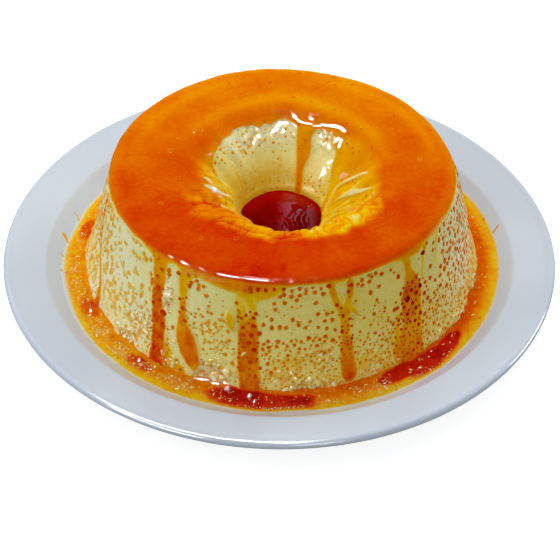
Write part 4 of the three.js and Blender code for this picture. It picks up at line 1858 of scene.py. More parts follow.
@dataclass
class Pits:
    """Pits in the custard, each filled with caramel."""

    sides: int = 10
    seed: int = 7
    tries: int = 26000
    funnel_tries: int = 520
    # Middle radius of a group, then (bearing from the front, height) of each of its pits
    groups: tuple[tuple[float, Table], ...] = (
        (0.95, (
            (-55, 64), (-51, 64), (-44.5, 64), (-53, 63.5), (-48.5, 61), (-45, 60.5), (-47, 59),
            (-53, 57.5), (-51.5, 57), (-50, 57), (-51, 50.5), (-50, 48.5), (-51.5, 48), (-47, 45),
            (-54, 45), (-47, 43), (-52.5, 39),
        )),
        (0.5, (
            (-60, 47.5), (-59.2, 46.6), (-58.4, 45.8), (-57.5, 45), (-56.4, 44), (-55.4, 43), (-54.4, 42.2),
            (-61, 42), (-57, 32.5), (-58.5, 36), (-56, 36), (-61, 55), (-60, 52), (-57.5, 58), (-63, 60),
            (-62, 38),
        )),
        (1.3, (
            (-37.5, 61), (-40, 59.5), (-37, 59), (-41, 55), (-44, 53.5), (-43, 51.5), (-43, 49.5),
            (-35.5, 44.5), (-38.5, 44), (-41, 40.5), (-39, 32), (-35, 31),
        )),
        (1.9, ((-40, 49), (-37, 38))),
        (1.2, (
            (-27, 64), (-25, 64), (-30, 63), (-33.5, 62), (-27, 61.5), (-28.5, 60), (-24.5, 60),
            (-26, 59.5), (-29, 58), (-26, 58), (-23, 55.5), (-30.5, 45.5), (-29, 39), (-28, 33),
            (-26.5, 28),
        )),
        (0.95, (
            (-11, 62.5), (-13.5, 55.5), (-22, 47.5), (-25, 47.5), (-21, 47), (-18, 44.8), (-17, 44.6),
            (-16, 44.4), (-23.5, 44.5), (-15, 44.5), (-21.5, 42), (-19.5, 42), (-15.5, 39.5), (-21, 38.5),
            (-15, 34.5), (-21, 31.5), (-18.5, 30), (-16, 27), (-22.5, 27), (-13.5, 30.5),
        )),
        (1.25, (
            (-9.5, 64), (-7, 63.5), (-4.5, 63.5), (-2, 64), (-9, 62), (0, 60), (-2, 56.5), (-1.5, 53.5),
            (-2.5, 48), (-5, 45), (-8, 44.5), (0, 44), (-2.5, 44), (-11, 43), (-6, 40.5), (-8.5, 39.5),
            (-11, 39), (-0.5, 36.5), (-3.5, 36.5), (-9, 35), (-3, 33.5), (-5, 32), (-10.5, 32.5),
            (-7.5, 31.5), (-8.5, 25), (-2.5, 20), (-5.5, 22),
        )),
        (1.2, (
            (19, 64), (1, 64), (15.5, 64), (29, 64), (31.5, 64), (10.5, 64), (6, 64), (8.3, 63.2), (30, 63),
            (12.8, 63), (3.6, 63), (26.5, 63), (33.5, 62.5), (22.5, 62), (25, 61.5), (11, 61.2), (8, 61),
            (1.2, 61.2), (29, 61), (6, 60.5), (3.4, 60), (13.5, 60), (26.5, 60), (21.5, 59), (5, 58),
            (1.5, 57), (32, 56.5), (11, 56), (29, 55),
        )),
        (1.15, (
            (11.5, 50), (14.5, 49.5), (4, 48), (9, 46.5), (13.5, 46), (16, 46), (5.5, 45), (1.8, 44),
            (11.5, 43), (16.5, 40.5), (17.5, 53.5), (14, 42), (7.5, 43.5),
        )),
        (0.85, (
            (33.5, 44), (33, 42.2), (20.5, 41.5), (18.6, 41.5), (34, 36.5), (31, 50), (26, 43), (28, 38),
            (24.5, 36),
        )),
        (1.3, (
            (54, 64), (56.5, 57.5), (39.5, 57), (40, 47), (44, 46), (48, 45.5), (29.5, 43), (42.4, 42.8),
            (38, 40.5), (50.5, 45), (46, 43), (49.5, 39.5), (44, 39), (40.4, 39.2), (36.8, 40.6),
            (39, 36.5), (45, 35.5), (50.5, 36), (41.5, 34.5), (51.5, 33), (46.5, 31), (48.5, 28.5),
            (44, 29), (47, 25.5), (42, 42), (51.5, 61), (57.5, 61),
        )),
        (1.35, (
            (54, 51), (59, 46), (53, 45), (55, 41.5), (58, 41.5), (57, 36.5), (60, 33.5), (65, 30.5),
            (61, 52), (64, 45), (63, 58), (67, 52), (66, 39), (69, 45), (70, 60), (72, 37), (62, 38),
        )),
    )
    patches: tuple[Patch, ...] = (
        Patch(4.0, 51.0, 7.0, 6.0, 0.55, 0.16), Patch(10.0, 33.0, 15.0, 5.0, 0.9, 0.6),
        Patch(10.0, 24.0, 16.0, 6.0, 0.8, 0.45), Patch(5.0, 15.0, 22.0, 5.0, 0.6, 0.4),
        Patch(21.0, 31.0, 4.0, 6.0, 0.8, 0.7), Patch(29.0, 26.0, 7.0, 9.0, 0.75, 0.5),
        Patch(20.0, 17.0, 4.5, 3.0, 0.8, 0.6), Patch(36.0, 20.0, 8.0, 8.0, 0.75, 0.5),
        Patch(32.0, 40.0, 3.0, 9.0, 0.5, 0.4), Patch(43.0, 36.0, 8.0, 12.0, 0.9, 0.45),
        Patch(43.0, 17.0, 8.0, 7.0, 0.8, 0.5), Patch(-8.0, 24.0, 5.0, 12.0, 0.8, 0.6),
        Patch(56.0, 27.0, 8.0, 12.0, 0.9, 0.6), Patch(63.0, 20.0, 8.0, 9.0, 0.8, 0.6),
        Patch(70.0, 50.0, 10.0, 16.0, 1.3, 0.6), Patch(72.0, 30.0, 9.0, 16.0, 1.05, 0.6),
        Patch(86.0, 42.0, 12.0, 26.0, 1.2, 0.6), Patch(-50.0, 35.0, 7.0, 7.0, 0.8, 0.16),
        Patch(-53.0, 24.0, 9.0, 8.0, 0.8, 0.2), Patch(-44.0, 28.0, 3.0, 8.0, 0.6, 0.2),
        Patch(-62.0, 46.0, 4.0, 16.0, 0.7, 0.08), Patch(-65.0, 28.0, 6.0, 12.0, 0.8, 0.18),
        Patch(-72.0, 52.0, 6.0, 14.0, 1.1, 0.3), Patch(-80.0, 34.0, 9.0, 20.0, 1.1, 0.3),
        Patch(-92.0, 44.0, 10.0, 26.0, 1.1, 0.4), Patch(-19.0, 33.0, 5.0, 8.0, 0.5, 0.4),
        Patch(-38.5, 24.0, 4.0, 12.0, 0.7, 0.5), Patch(-27.0, 36.0, 4.0, 10.0, 0.6, 0.5),
    )
    # Bearing from the front, and depth of the caramel's colour in the pits there
    tones: Table = (
        (-130, 0.45), (-90, 0.32), (-62, 0.24), (-52, 0.22), (-44, 0.4), (-38, 0.56), (-34, 0.52),
        (-26, 0.52), (-20, 0.34), (-14, 0.4), (-8, 0.6), (0, 0.54), (12, 0.54), (22, 0.58), (32, 0.6),
        (42, 0.74), (52, 0.66), (62, 0.58), (90, 0.5), (130, 0.45),
    )

    def crowding(self, front: Array, height: Array) -> tuple[Array, Array]:
        """Return how crowded the pits are at each place, and how large.

        Args:
            front: Bearings from the front.
            height: Heights on the wall.

        Returns:
            Crowding between 0 and 1, and the pits' middle radius.
        """
        best, size = np.zeros(len(front)), np.full(len(front), 0.8)
        for patch in self.patches:
            along = turn(front, patch.front) / patch.half_width
            d = np.hypot(along, (height - patch.height) / patch.half_height)
            here = patch.crowd * np.clip(2.4 - 1.9 * d, 0.0, 1.0)
            size = np.where(here > best, patch.size, size)
            best = np.maximum(best, here)
        clusters = soft_noise(circled(np.radians(front), 90.0, height), 16.0, 51, 2)
        best = np.maximum(best, 0.4 * smooth(run_field(front, height), 0.0, 1.5) * (height < 52.0))
        behind = np.abs(turn(front, 0.0)) > 96.0
        best = np.where(behind, np.maximum(0.0, 0.45 + 0.9 * clusters), best)
        size = np.where(behind, 0.8 + 0.3 * np.maximum(0.0, clusters) + 0.2 * (height > 40), size)
        return best, size

    def places(self) -> list[tuple[float, float, float]]:
        """Scatter the pits over the wall and the funnel.

        Returns:
            Angle in radians, row and radius of each pit.
        """
        rng = np.random.default_rng(self.seed)
        cell, taken, made = 4.0, {}, []
        heights = np.linspace(8.0, 65.0, 115)
        rows = np.interp(heights, FORM.profile(np.linspace(0, 8.4, 300))[0][:, 1], np.linspace(0, 8.4, 300))
        around = WALL_RADIUS * 2 * math.pi
        for size, spots in self.groups:
            for front, height in spots:
                height, radius = height + rng.uniform(-0.2, 0.2), size * rng.uniform(0.85, 1.15)
                x = (front + rng.uniform(-0.15, 0.15)) / 360.0 * around
                taken.setdefault((int(x // cell), int(height // cell)), []).append((x, height, radius))
                row = float(np.interp(height, heights, rows))
                made.append((math.radians(x / around * 360.0 - 90.0), row, radius))
        n = self.tries
        fronts, tall = rng.uniform(-180.0, 180.0, n), rng.uniform(9.5, 64.6, n)
        crowd, size = self.crowding(fronts, tall)
        keep = rng.random(n) < crowd + 0.006
        usual = rng.random(n) < 0.9
        radii = np.where(usual, size * (1.0 + 0.24 * rng.standard_normal(n)), rng.uniform(0.35, 0.8, n))
        radii = np.clip(radii, 0.3, 1.8)
        gaps = np.where(rng.random(n) < 0.85, 1.06, 0.85)
        for k in np.flatnonzero(keep):
            x, height, radius = fronts[k] / 360.0 * around, tall[k], radii[k]
            column, shelf = int(x // cell), int(height // cell)
            keys = [(column + dx, shelf + dz) for dx in (-1, 0, 1) for dz in (-1, 0, 1)]
            near = [spot for key in keys for spot in taken.get(key, ())]
            if any(math.hypot(x - px, height - pz) < gaps[k] * (radius + pr) + 0.15 for px, pz, pr in near):
                continue
            taken.setdefault((column, shelf), []).append((x, height, radius))
            row = float(np.interp(height, heights, rows))
            made.append((math.radians(fronts[k] - 90.0), row, float(radius)))
        funnel: list[Array] = []
        for _ in range(self.funnel_tries):
            angle, row = math.radians(rng.uniform(30.0, 172.0)), rng.uniform(13.2, 17.9)
            high, low = math.exp(-(((row - 14.0) / 0.55) ** 2)), math.exp(-(((row - 16.9) / 0.6) ** 2))
            towards = 0.35 + 0.65 * (math.degrees(angle) < 82.0)
            chance = 0.75 * high + 0.6 * low * towards + 0.1
            radius = rng.uniform(0.35, 0.95) * (1.05 if row < 14.8 else 0.8)
            centre = FORM.point(np.array([angle]), np.array([row]))[0]
            if rng.random() < chance and all(math.dist(centre, other) > 2.0 for other in funnel):
                funnel.append(centre)
                made.append((float(angle), float(row), float(radius)))
        return made

    def build(self, places: Sequence[tuple[float, float, float]]) -> Piece:
        """Lay a small skin of caramel in every pit.

        Args:
            places: Angle, row and radius of each pit.

        Returns:
            All the fillings as one piece.
        """
        spots = np.array(places)
        here, _ = FORM.profile(spots[:, 1])
        ahead, _ = FORM.profile(spots[:, 1] + 0.01)
        per_row = np.linalg.norm(ahead - here, axis=1) / 0.01
        front = np.degrees(spots[:, 0]) + 90.0
        on_run = smooth(run_field(front, here[:, 1]), -0.5, 1.0) * (spots[:, 1] < 8.4)
        rng = np.random.default_rng(self.seed + 1)
        jitter, stretch = rng.uniform(-0.06, 0.06, len(spots)), rng.uniform(0.85, 1.15, len(spots))
        spin = rng.uniform(0, math.pi, len(spots))
        depth = read(self.tones, turn(front, 0.0)) - 0.12 * smooth(here[:, 1], 34.0, 18.0)
        depth = np.where(spots[:, 1] > 12.0, 0.34, depth)
        depth = depth + 0.14 * (np.minimum(spots[:, 2], 1.3) - 1.0) + jitter + 0.18 * on_run
        n = self.sides
        shares = np.array([1.0, 0.88, 0.5, 0.0])
        lifts, hollows = (-0.1, 0.06, 0.1, 0.1), (0.0, 0.14, 0.75, 1.0)
        a = np.arange(n) * 2 * math.pi / n
        corner_angle, corner_row, lift, hollow, tone, faces = [], [], [], [], [], []
        for k, (angle, row, radius) in enumerate(places):
            wobble = radius * (1.0 + 0.08 * np.sin(3 * a + spin[k] * 5) + 0.05 * np.sin(5 * a + spin[k] * 9))
            u = wobble * np.cos(a) * stretch[k] / float(here[k, 0])
            v = wobble * np.sin(a) / stretch[k] / per_row[k]
            start = k * (3 * n + 1)
            for ring, share in enumerate(shares):
                m = n if share else 1
                corner_angle.append(angle + u[:m] * share)
                corner_row.append(row + v[:m] * share)
                lift.append(np.full(m, lifts[ring] + (0.35 * on_run[k] if ring else 0.0)))
                hollow.append(np.full(m, hollows[ring]))
            # Painted shade: each pit's caramel is deeper in colour on its upper side, where the edge above
            # shades it
            upper = np.concatenate([np.sin(a) * share for share in shares[:3]] + [[0.0]])
            tone.append(depth[k] + 0.1 * upper - np.repeat([0.26, 0.08, 0.0, 0.04], [n, n, n, 1]))
            for ring in range(2):
                first, second = start + ring * n, start + (ring + 1) * n
                for q in range(n):
                    ahead = (q + 1) % n
                    faces.append((first + q, second + q, second + ahead, first + ahead))
            faces.extend((start + 2 * n + q, start + 3 * n, start + 2 * n + (q + 1) % n) for q in range(n))
            faces.append([start + q for q in range(n)])
        row = np.clip(np.concatenate(corner_row), 0.05, 18.9)
        points = FORM.point(np.concatenate(corner_angle), row, np.concatenate(lift))
        obj = new_object("caramel_filled_pits", points, faces)
        paint(obj, hollow=np.concatenate(hollow), depth=np.concatenate(tone))
        log.info("pits: %d", len(places))
        return obj


# ---------------------------------------------------------------- pools


@dataclass(frozen=True)
class Puddle:
    """A place where the pool is deeper and darker.

    Attributes:
        front: Bearing of its middle from the front.
        radius: Distance of its middle from the plate's axis.
        half_width: Half its width, in degrees.
        half_depth: Half its size outward.
        strength: How much darker it is.
    """

    front: float
    radius: float
    half_width: float
    half_depth: float
    strength: float


@dataclass
class Pool:
    """The caramel that lies round the custard's foot."""

    level: float = 10.25
    columns: int = 900
    under: tuple[int, ...] = (0, 7, 14, 20, 25)
    # Bearing from the front, and distance of the edge from the plate's axis
    reach: Table = (
        (-172, 111.2), (-150, 111.4), (-132, 110.6), (-118, 110.8), (-112, 111.0), (-107, 110.4),
        (-96, 111.4), (-90, 112.2), (-83, 111.7), (-74, 111.3), (-60, 110.9), (-48, 110.5), (-38, 110.2),
        (-28, 109.6), (-19, 108.8), (-15, 108.2), (-11, 109.2), (-3, 109.0), (1, 108.6), (4, 106.4),
        (8, 108.3), (13, 108.9), (20, 109.2), (28, 109.9), (36, 110.1), (41, 110.9), (47, 112.0),
        (55, 110.9), (64, 111.7), (76, 112.7), (91, 113.5), (104, 114.1), (115, 114.6), (128, 113.4),
        (145, 111.6), (163, 111.0),
    )
    puddles: tuple[Puddle, ...] = (
        Puddle(-11.0, 102.0, 9.5, 6.0, 0.54), Puddle(-1.0, 104.0, 12.5, 6.2, 0.52),
        Puddle(7.0, 101.0, 4.0, 2.6, 0.3), Puddle(37.0, 101.5, 7.5, 4.4, 0.58),
        Puddle(45.0, 103.5, 9.0, 5.6, 0.58), Puddle(54.0, 103.5, 6.5, 4.2, 0.5),
        Puddle(-41.5, 102.5, 4.4, 3.4, 0.36), Puddle(-68.5, 101.5, 5.0, 4.4, 0.22),
        Puddle(-104.0, 102.5, 5.0, 3.8, 0.3), Puddle(127.0, 104.0, 9.0, 4.0, 0.5),
        Puddle(-140.0, 104.0, 9.0, 4.0, 0.45), Puddle(170.0, 103.5, 7.0, 3.6, 0.45),
    )
    # Bearing, distance from the axis, half width and height of each swelling
    swells: Table = (
        (-42.6, 100.4, 2.3, 1.15), (-14.4, 97.0, 2.0, 1.05), (-7.6, 99.6, 2.2, 1.35),
        (-6.0, 103.0, 1.4, 0.8), (48.8, 100.4, 1.8, 1.0), (45.2, 100.6, 1.6, 0.95), (33.2, 101.2, 1.5, 0.8),
        (-68.5, 101.8, 3.4, 1.2),
    )

    def edge(self, front: Array) -> Array:
        """Return how far the pool reaches at each bearing.

        Args:
            front: Bearings from the front.

        Returns:
            Distances from the plate's axis.
        """
        (first, near), (last, far) = self.reach[0], self.reach[-1]
        table = ((last - 360.0, far), *self.reach, (first + 360.0, near))
        where = turn(front, 0.0)
        base = sum(read(table, turn(where + d, 0.0)) for d in (-3.0, 0.0, 3.0)) / 3.0
        return base + 0.3 * soft_noise(circled(np.radians(front), 110.0, 0.0), 9.0, 61, 2)

    def build(self) -> Piece:
        """Build the pool between the custard's wall and its own edge.

        Returns:
            The pool as one closed body.
        """
        n = self.columns
        angle = np.arange(n) / n * 2 * np.pi
        wall = FORM.point(angle, np.full(n, 1.0), -0.7)
        inner_angle = np.arctan2(wall[:, 1], wall[:, 0])
        inner = np.hypot(wall[:, 0], wall[:, 1])
        front = np.degrees(inner_angle) + 90.0
        edge = self.edge(front)
        by_wall, outward = np.linspace(0.0, 0.3, 9, endpoint=False), np.linspace(0.3, 0.96, 18)
        shares = np.concatenate([by_wall, outward, [0.98, 1.0]])
        radius = inner[:, None] + (edge - inner)[:, None] * shares[None, :]
        away = edge[:, None] - radius
        from_wall = radius - inner[:, None] - 0.7
        bottom = PLATE.top(radius.ravel()).reshape(radius.shape)
        at_angle = inner_angle[:, None]
        flat = circled(at_angle, radius, 0.0).reshape(-1, 3)
        ripple = 0.08 * soft_noise(flat, 9.0, 62, 2) + 0.05 * soft_noise(flat, 3.0, 65)
        film = 0.3 + 0.12 * soft_noise(flat, 6.0, 63).reshape(radius.shape)
        level = self.level + 0.9 * np.exp(-np.maximum(from_wall, 0.0) / 0.9) + ripple.reshape(radius.shape)
        bearing = np.broadcast_to(front[:, None], radius.shape)
        swell = np.zeros(radius.shape)
        for at, far, size, tall in self.swells:
            d = np.hypot(np.radians(turn(bearing, at)) * far / 1.25, radius - far) / size
            level, swell = level + tall * bump(d, 1.25), np.maximum(swell, smooth(bump(d, 1.2), 0.2, 0.6))
        surface = np.maximum(level, bottom + film)
        surface = bottom - 0.03 + (surface - bottom + 0.03) * smooth(away, 0.0, 5.0)
        top_points = circled(at_angle, radius, surface)
        low_points = circled(at_angle, radius, np.minimum(bottom - 0.12, surface - 0.05))
        low_points[:, :, 2] = np.maximum(low_points[:, :, 2], PLATE.floor_height - 0.1)
        # Outline from the outer edge over the top to the wall and back underneath
        over = list(range(len(shares) - 1, -1, -1))
        outline = np.concatenate([top_points[:, over], low_points[:, list(self.under)]], axis=1)
        obj = new_object("caramel_pool_sauce", outline.reshape(-1, 3), ring_faces(n, outline.shape[1]))
        meniscus = 0.8 * bump(from_wall, 1.4) * bump(turn(bearing, -19.0), 9.0)
        order = over + list(self.under)
        self._paint(obj, order, bearing, radius, away, np.maximum(swell, meniscus), flat)
        return obj

    def _paint(self, obj: Piece, order: list[int], bearing: Array, radius: Array, away: Array,
               glassy: Array, flat: Array) -> None:
        """Store the pool's depth of colour, specks and cover.

        Args:
            obj: The pool.
            order: Which of the shares each corner of the outline takes its values from.
            bearing: Bearings from the front.
            radius: Distances from the plate's axis.
            away: Distances inside the pool's edge.
            glassy: Where the sauce stands up and shines.
            flat: The places, at height 0.
        """
        cloud = soft_noise(flat, 10.0, 64, 3).reshape(radius.shape)
        grain = soft_noise(flat, 2.6, 66, 2).reshape(radius.shape)
        right = bump(turn(bearing, 88.0), 86.0)
        left = bump(turn(bearing, -75.0), 80.0)
        depth = 0.11 + 0.06 * smooth(away, 0.6, 2.2)
        depth += (0.24 + 0.12 * right) * smooth(away, 0.8, 6.5 + 4.0 * right)
        depth += 0.13 * smooth(away, 4.5, 11.0) - 0.1 * left * smooth(away, 4.5, 8.5)
        grainy = 0.07 + 0.12 * left * smooth(away, 2.0, 6.0)
        depth += (0.07 - 0.04 * right) * cloud + grainy * grain - 0.03 * left
        bent = 0.3 * cloud + 0.14 * grain
        dark = np.zeros(radius.shape)
        for p in self.puddles:
            d = np.hypot(turn(bearing, p.front) / p.half_width, (radius - p.radius) / p.half_depth)
            dark = np.maximum(dark, p.strength * smooth(d + bent, 1.2, 0.7))
        depth += dark * smooth(away, 1.2, 2.8)
        depth = np.clip(depth, 0.05, 0.88 + 0.02 * grain)
        reach = 1.6 + 1.0 * right + 1.0 * left + 1.6 * bump(turn(bearing, -80.0), 22.0)
        cover = 0.96 * smooth(away / reach, 0.0, 1.0) + 0.04 * smooth(away, 6.0, 9.0)
        specks = 0.1 + 0.15 * bump(turn(bearing, -50.0), 60.0)
        froth = (0.06 + 0.34 * left) * smooth(away, 1.5, 5.0) * smooth(cloud, -0.6, 0.3)
        wet = np.minimum(glassy, 1.0)
        layers = {"depth": depth, "specks": specks, "cover": cover, "wet": wet, "froth": froth}
        paint(obj, **{name: values[:, order].ravel() for name, values in layers.items()})


POOL = Pool()


@dataclass
class HolePool:
    """The caramel that stands in the ring's hole."""

    level: float = 36.8
    columns: int = 160
    shares: tuple[float, ...] = (
        1.0, 0.985, 0.96, 0.92, 0.87, 0.81, 0.75, 0.69, 0.63, 0.57, 0.5, 0.43, 0.36, 0.28, 0.2, 0.1,
    )

    def build(self) -> Piece:
        """Build it as a solid down to the plate.

        Returns:
            The caramel in the hole.
        """
        n = self.columns
        angle = np.arange(n) / n * 2 * np.pi
        above, below = FORM.section[17][1], FORM.section[18][1]
        wall_row = float(np.interp(-self.level, [-above, -below], [17.0, 18.0]))
        rim = FORM.point(angle, np.full(n, wall_row), -0.5)
        foot = FORM.point(angle, np.full(n, 18.98), -0.1)
        centre = np.array([FORM.centre[0], FORM.centre[1], 0.0])
        outline = [np.stack([foot[:, 0], foot[:, 1], np.full(n, FORM.floor)], axis=1)]
        for share in self.shares:
            p = centre + (rim - centre) * share
            away = (1.0 - share) * 20.0
            p[:, 2] = self.level - 0.4 + 0.75 * math.exp(-away / 0.9)
            p[:, 2] += 0.05 * soft_noise(p, 7.0, 71, 2)
            right = bump(p[:, 0] - 9.0, 9.0) * bump(p[:, 1] - 1.0, 14.0)
            waves = np.sin(p[:, 0] * 1.25 + 0.9 * np.sin(p[:, 1] * 0.5))
            p[:, 2] += 0.2 * right * waves * smooth(np.full(n, share), 1.0, 0.9)
            outline.append(p)
        points = np.stack(outline, axis=1).reshape(-1, 3)
        middles = [[centre[0], centre[1], FORM.floor], [centre[0], centre[1], self.level - 0.4]]
        points = np.vstack([points, middles])
        obj = new_object("caramel_in_hole_sauce", points, capped_faces(n, len(outline)))
        shares = np.tile(np.array([1.0, *self.shares]), n)
        swirl = soft_noise(points[:-2], 9.0, 72, 3)
        behind = smooth(points[:-2, 1], 2.0, 24.0)
        depth = 0.985 + 0.02 * swirl - 0.05 * behind - 0.4 * smooth(shares, 0.95, 1.0)
        glassy = 0.95 * np.maximum(bump(points[:-2, 0] - 9.0, 12.0), smooth(shares, 0.9, 0.95))
        depth, glassy = np.concatenate([depth, [0.94, 0.94]]), np.concatenate([glassy, [0.0, 0.0]])
        paint(obj, depth=depth, specks=0.03, wet=glassy, warm=0.5, cover=1.0)
        face_outward(obj)
        return obj


# ---------------------------------------------------------------- crumbs and bubbles


@dataclass(frozen=True)
class Grains:
    """Sizes of the lumps that one scatter lays down.

    Attributes:
        name: Name of the finished piece.
        density: Lumps in a square millimetre where the surface asks for all of them.
        smallest: Smallest half width.
        largest: Largest half width.
        length: Length of a lump as a share of its width.
        flatness: Height of a lump as a share of its width.
        roughness: How uneven a lump is.
        seed: Which scatter to draw.
        soak: How far the driest and the wettest lumps are soaked.
    """

    name: str
    density: float
    smallest: float
    largest: float
    length: float
    flatness: float
    roughness: float
    seed: int
    soak: tuple[float, float] = (0.0, 0.9)


class Scatter:
    """Scatters small lumps over a surface with geometry nodes."""

    def __init__(self, grains: Grains, material: Material) -> None:
        """Write the tree.

        Args:
            grains: Sizes of the lumps.
            material: Their material.
        """
        self.grains = grains
        tree = bpy.data.node_groups.new(grains.name + "_scatter", "GeometryNodeTree")
        self.tree = tree
        tree.interface.new_socket("Surface", in_out="INPUT", socket_type="NodeSocketGeometry")
        for key in ("Density", "Smallest", "Largest", "Length", "Flatness", "Roughness", "Driest", "Wettest"):
            tree.interface.new_socket(key, in_out="INPUT", socket_type="NodeSocketFloat")
        tree.interface.new_socket("Seed", in_out="INPUT", socket_type="NodeSocketInt")
        tree.interface.new_socket("Lumps", in_out="OUTPUT", socket_type="NodeSocketGeometry")
        write = Writer(tree)
        given, out = write.node("NodeGroupInput").outputs, write.node("NodeGroupOutput")
        seed = given["Seed"]
        crowd = write.node("GeometryNodeInputNamedAttribute", data_type="FLOAT")
        write.feed(crowd, Name="crowd")
        spread = write.node("GeometryNodeDistributePointsOnFaces", distribute_method="RANDOM")
        write.feed(spread, Mesh=given["Surface"])
        write.feed(spread, Density=write.times(given["Density"], crowd.outputs[0]), Seed=seed)
        ball = write.node("GeometryNodeMeshIcoSphere")
        write.feed(ball, Radius=1.0, Subdivisions=2)
        uneven = write.node("ShaderNodeTexNoise")
        write.feed(uneven, Scale=1.3)
        centred = write.node("ShaderNodeVectorMath", operation="SUBTRACT")
        centred.inputs[1].default_value = (0.5, 0.5, 0.5)
        write.join(uneven.outputs["Color"], centred.inputs[0])
        pushed = write.node("ShaderNodeVectorMath", operation="SCALE")
        write.join(centred.outputs[0], pushed.inputs[0])
        write.feed(pushed, Scale=given["Roughness"])
        lump = write.node("GeometryNodeSetPosition")
        write.feed(lump, Geometry=ball.outputs["Mesh"], Offset=pushed.outputs[0])
        chance = self._random(write, 0.0, 1.0, seed, 1)
        few = write.math("POWER", chance, 2.2)
        range_of_sizes = write.math("SUBTRACT", given["Largest"], given["Smallest"])
        size = write.math("MULTIPLY_ADD", range_of_sizes, few, given["Smallest"])
        stretch = write.times(given["Length"], self._random(write, 0.7, 1.5, seed, 2))
        long = write.times(size, stretch)
        shape = write.node("ShaderNodeCombineXYZ")
        write.join(long, shape.inputs[0])
        write.join(size, shape.inputs[1])
        write.join(write.times(size, given["Flatness"]), shape.inputs[2])
        spin = write.node("FunctionNodeAxisAngleToRotation")
        write.feed(spin, Axis=(0.0, 0.0, 1.0))
        write.feed(spin, Angle=self._random(write, 0.0, 6.283, seed, 3))
        turned = write.node("FunctionNodeRotateRotation", rotation_space="LOCAL")
        write.feed(turned, Rotation=spread.outputs["Rotation"], Rotate_By=spin.outputs[0])
        laid = write.node("GeometryNodeInstanceOnPoints")
        write.feed(laid, Points=spread.outputs["Points"], Instance=lump.outputs[0])
        write.feed(laid, Rotation=turned.outputs[0], Scale=shape.outputs[0])
        noted = write.node("GeometryNodeStoreNamedAttribute", data_type="FLOAT", domain="INSTANCE")
        write.feed(noted, Name="soak", Geometry=laid.outputs[0])
        soak = self._random(write, given["Driest"], given["Wettest"], seed, 4)
        write.feed(noted, Value=soak)
        whole = write.node("GeometryNodeRealizeInstances")
        write.join(noted.outputs[0], whole.inputs[0])
        rounded = write.node("GeometryNodeSetShadeSmooth")
        write.join(whole.outputs[0], rounded.inputs[0])
        dressed = write.node("GeometryNodeSetMaterial")
        write.feed(dressed, Material=material, Geometry=rounded.outputs[0])
        write.join(dressed.outputs[0], out.inputs[0])

    @staticmethod
    def _random(write: Writer, low: object, high: object, seed: object, number: int) -> Socket:
        """Add a random value for each lump.

        Args:
            write: The tree's writer.
            low: Smallest value.
            high: Largest value.
            seed: Seed socket.
            number: Which value of the lump it is.

        Returns:
            The value's socket.
        """
        made = write.node("FunctionNodeRandomValue", data_type="FLOAT")
        write.join(low, made.inputs[2])
        write.join(high, made.inputs[3])
        write.feed(made, Seed=write.math("ADD", write.times(seed, 10.0), float(number)))
        return made.outputs[1]

    def lay(self, points: Array, faces: Sequence[Sequence[int]], crowd: Array) -> Piece:
        """Scatter the lumps over a surface.

        Args:
            points: The surface's corners, in millimetres.
            faces: Its faces.
            crowd: How many lumps each corner asks for, from 0 to 1.

        Returns:
            The lumps as one plain mesh.
        """
        surface = new_object(self.grains.name + "_ground", points, faces)
        paint(surface, crowd=crowd)
        grow = surface.modifiers.new("scatter", "NODES")
        grow.node_group = self.tree
        grains = self.grains
        values = {
            "Density": grains.density * 1e6, "Smallest": grains.smallest * MM, "Largest": grains.largest * MM,
            "Length": grains.length, "Flatness": grains.flatness, "Roughness": grains.roughness,
            "Driest": grains.soak[0], "Wettest": grains.soak[1], "Seed": grains.seed,
        }
        for item in self.tree.interface.items_tree:
            if item.in_out == "INPUT" and item.name in values:
                grow[item.identifier] = values[item.name]
        evaluated = surface.evaluated_get(bpy.context.evaluated_depsgraph_get())
        mesh = bpy.data.meshes.new_from_object(evaluated)
        surface.modifiers.clear()
        bpy.data.objects.remove(surface)
        mesh.name = self.grains.name
        made = bpy.data.objects.new(self.grains.name, mesh)
        bpy.context.scene.collection.objects.link(made)
        return made


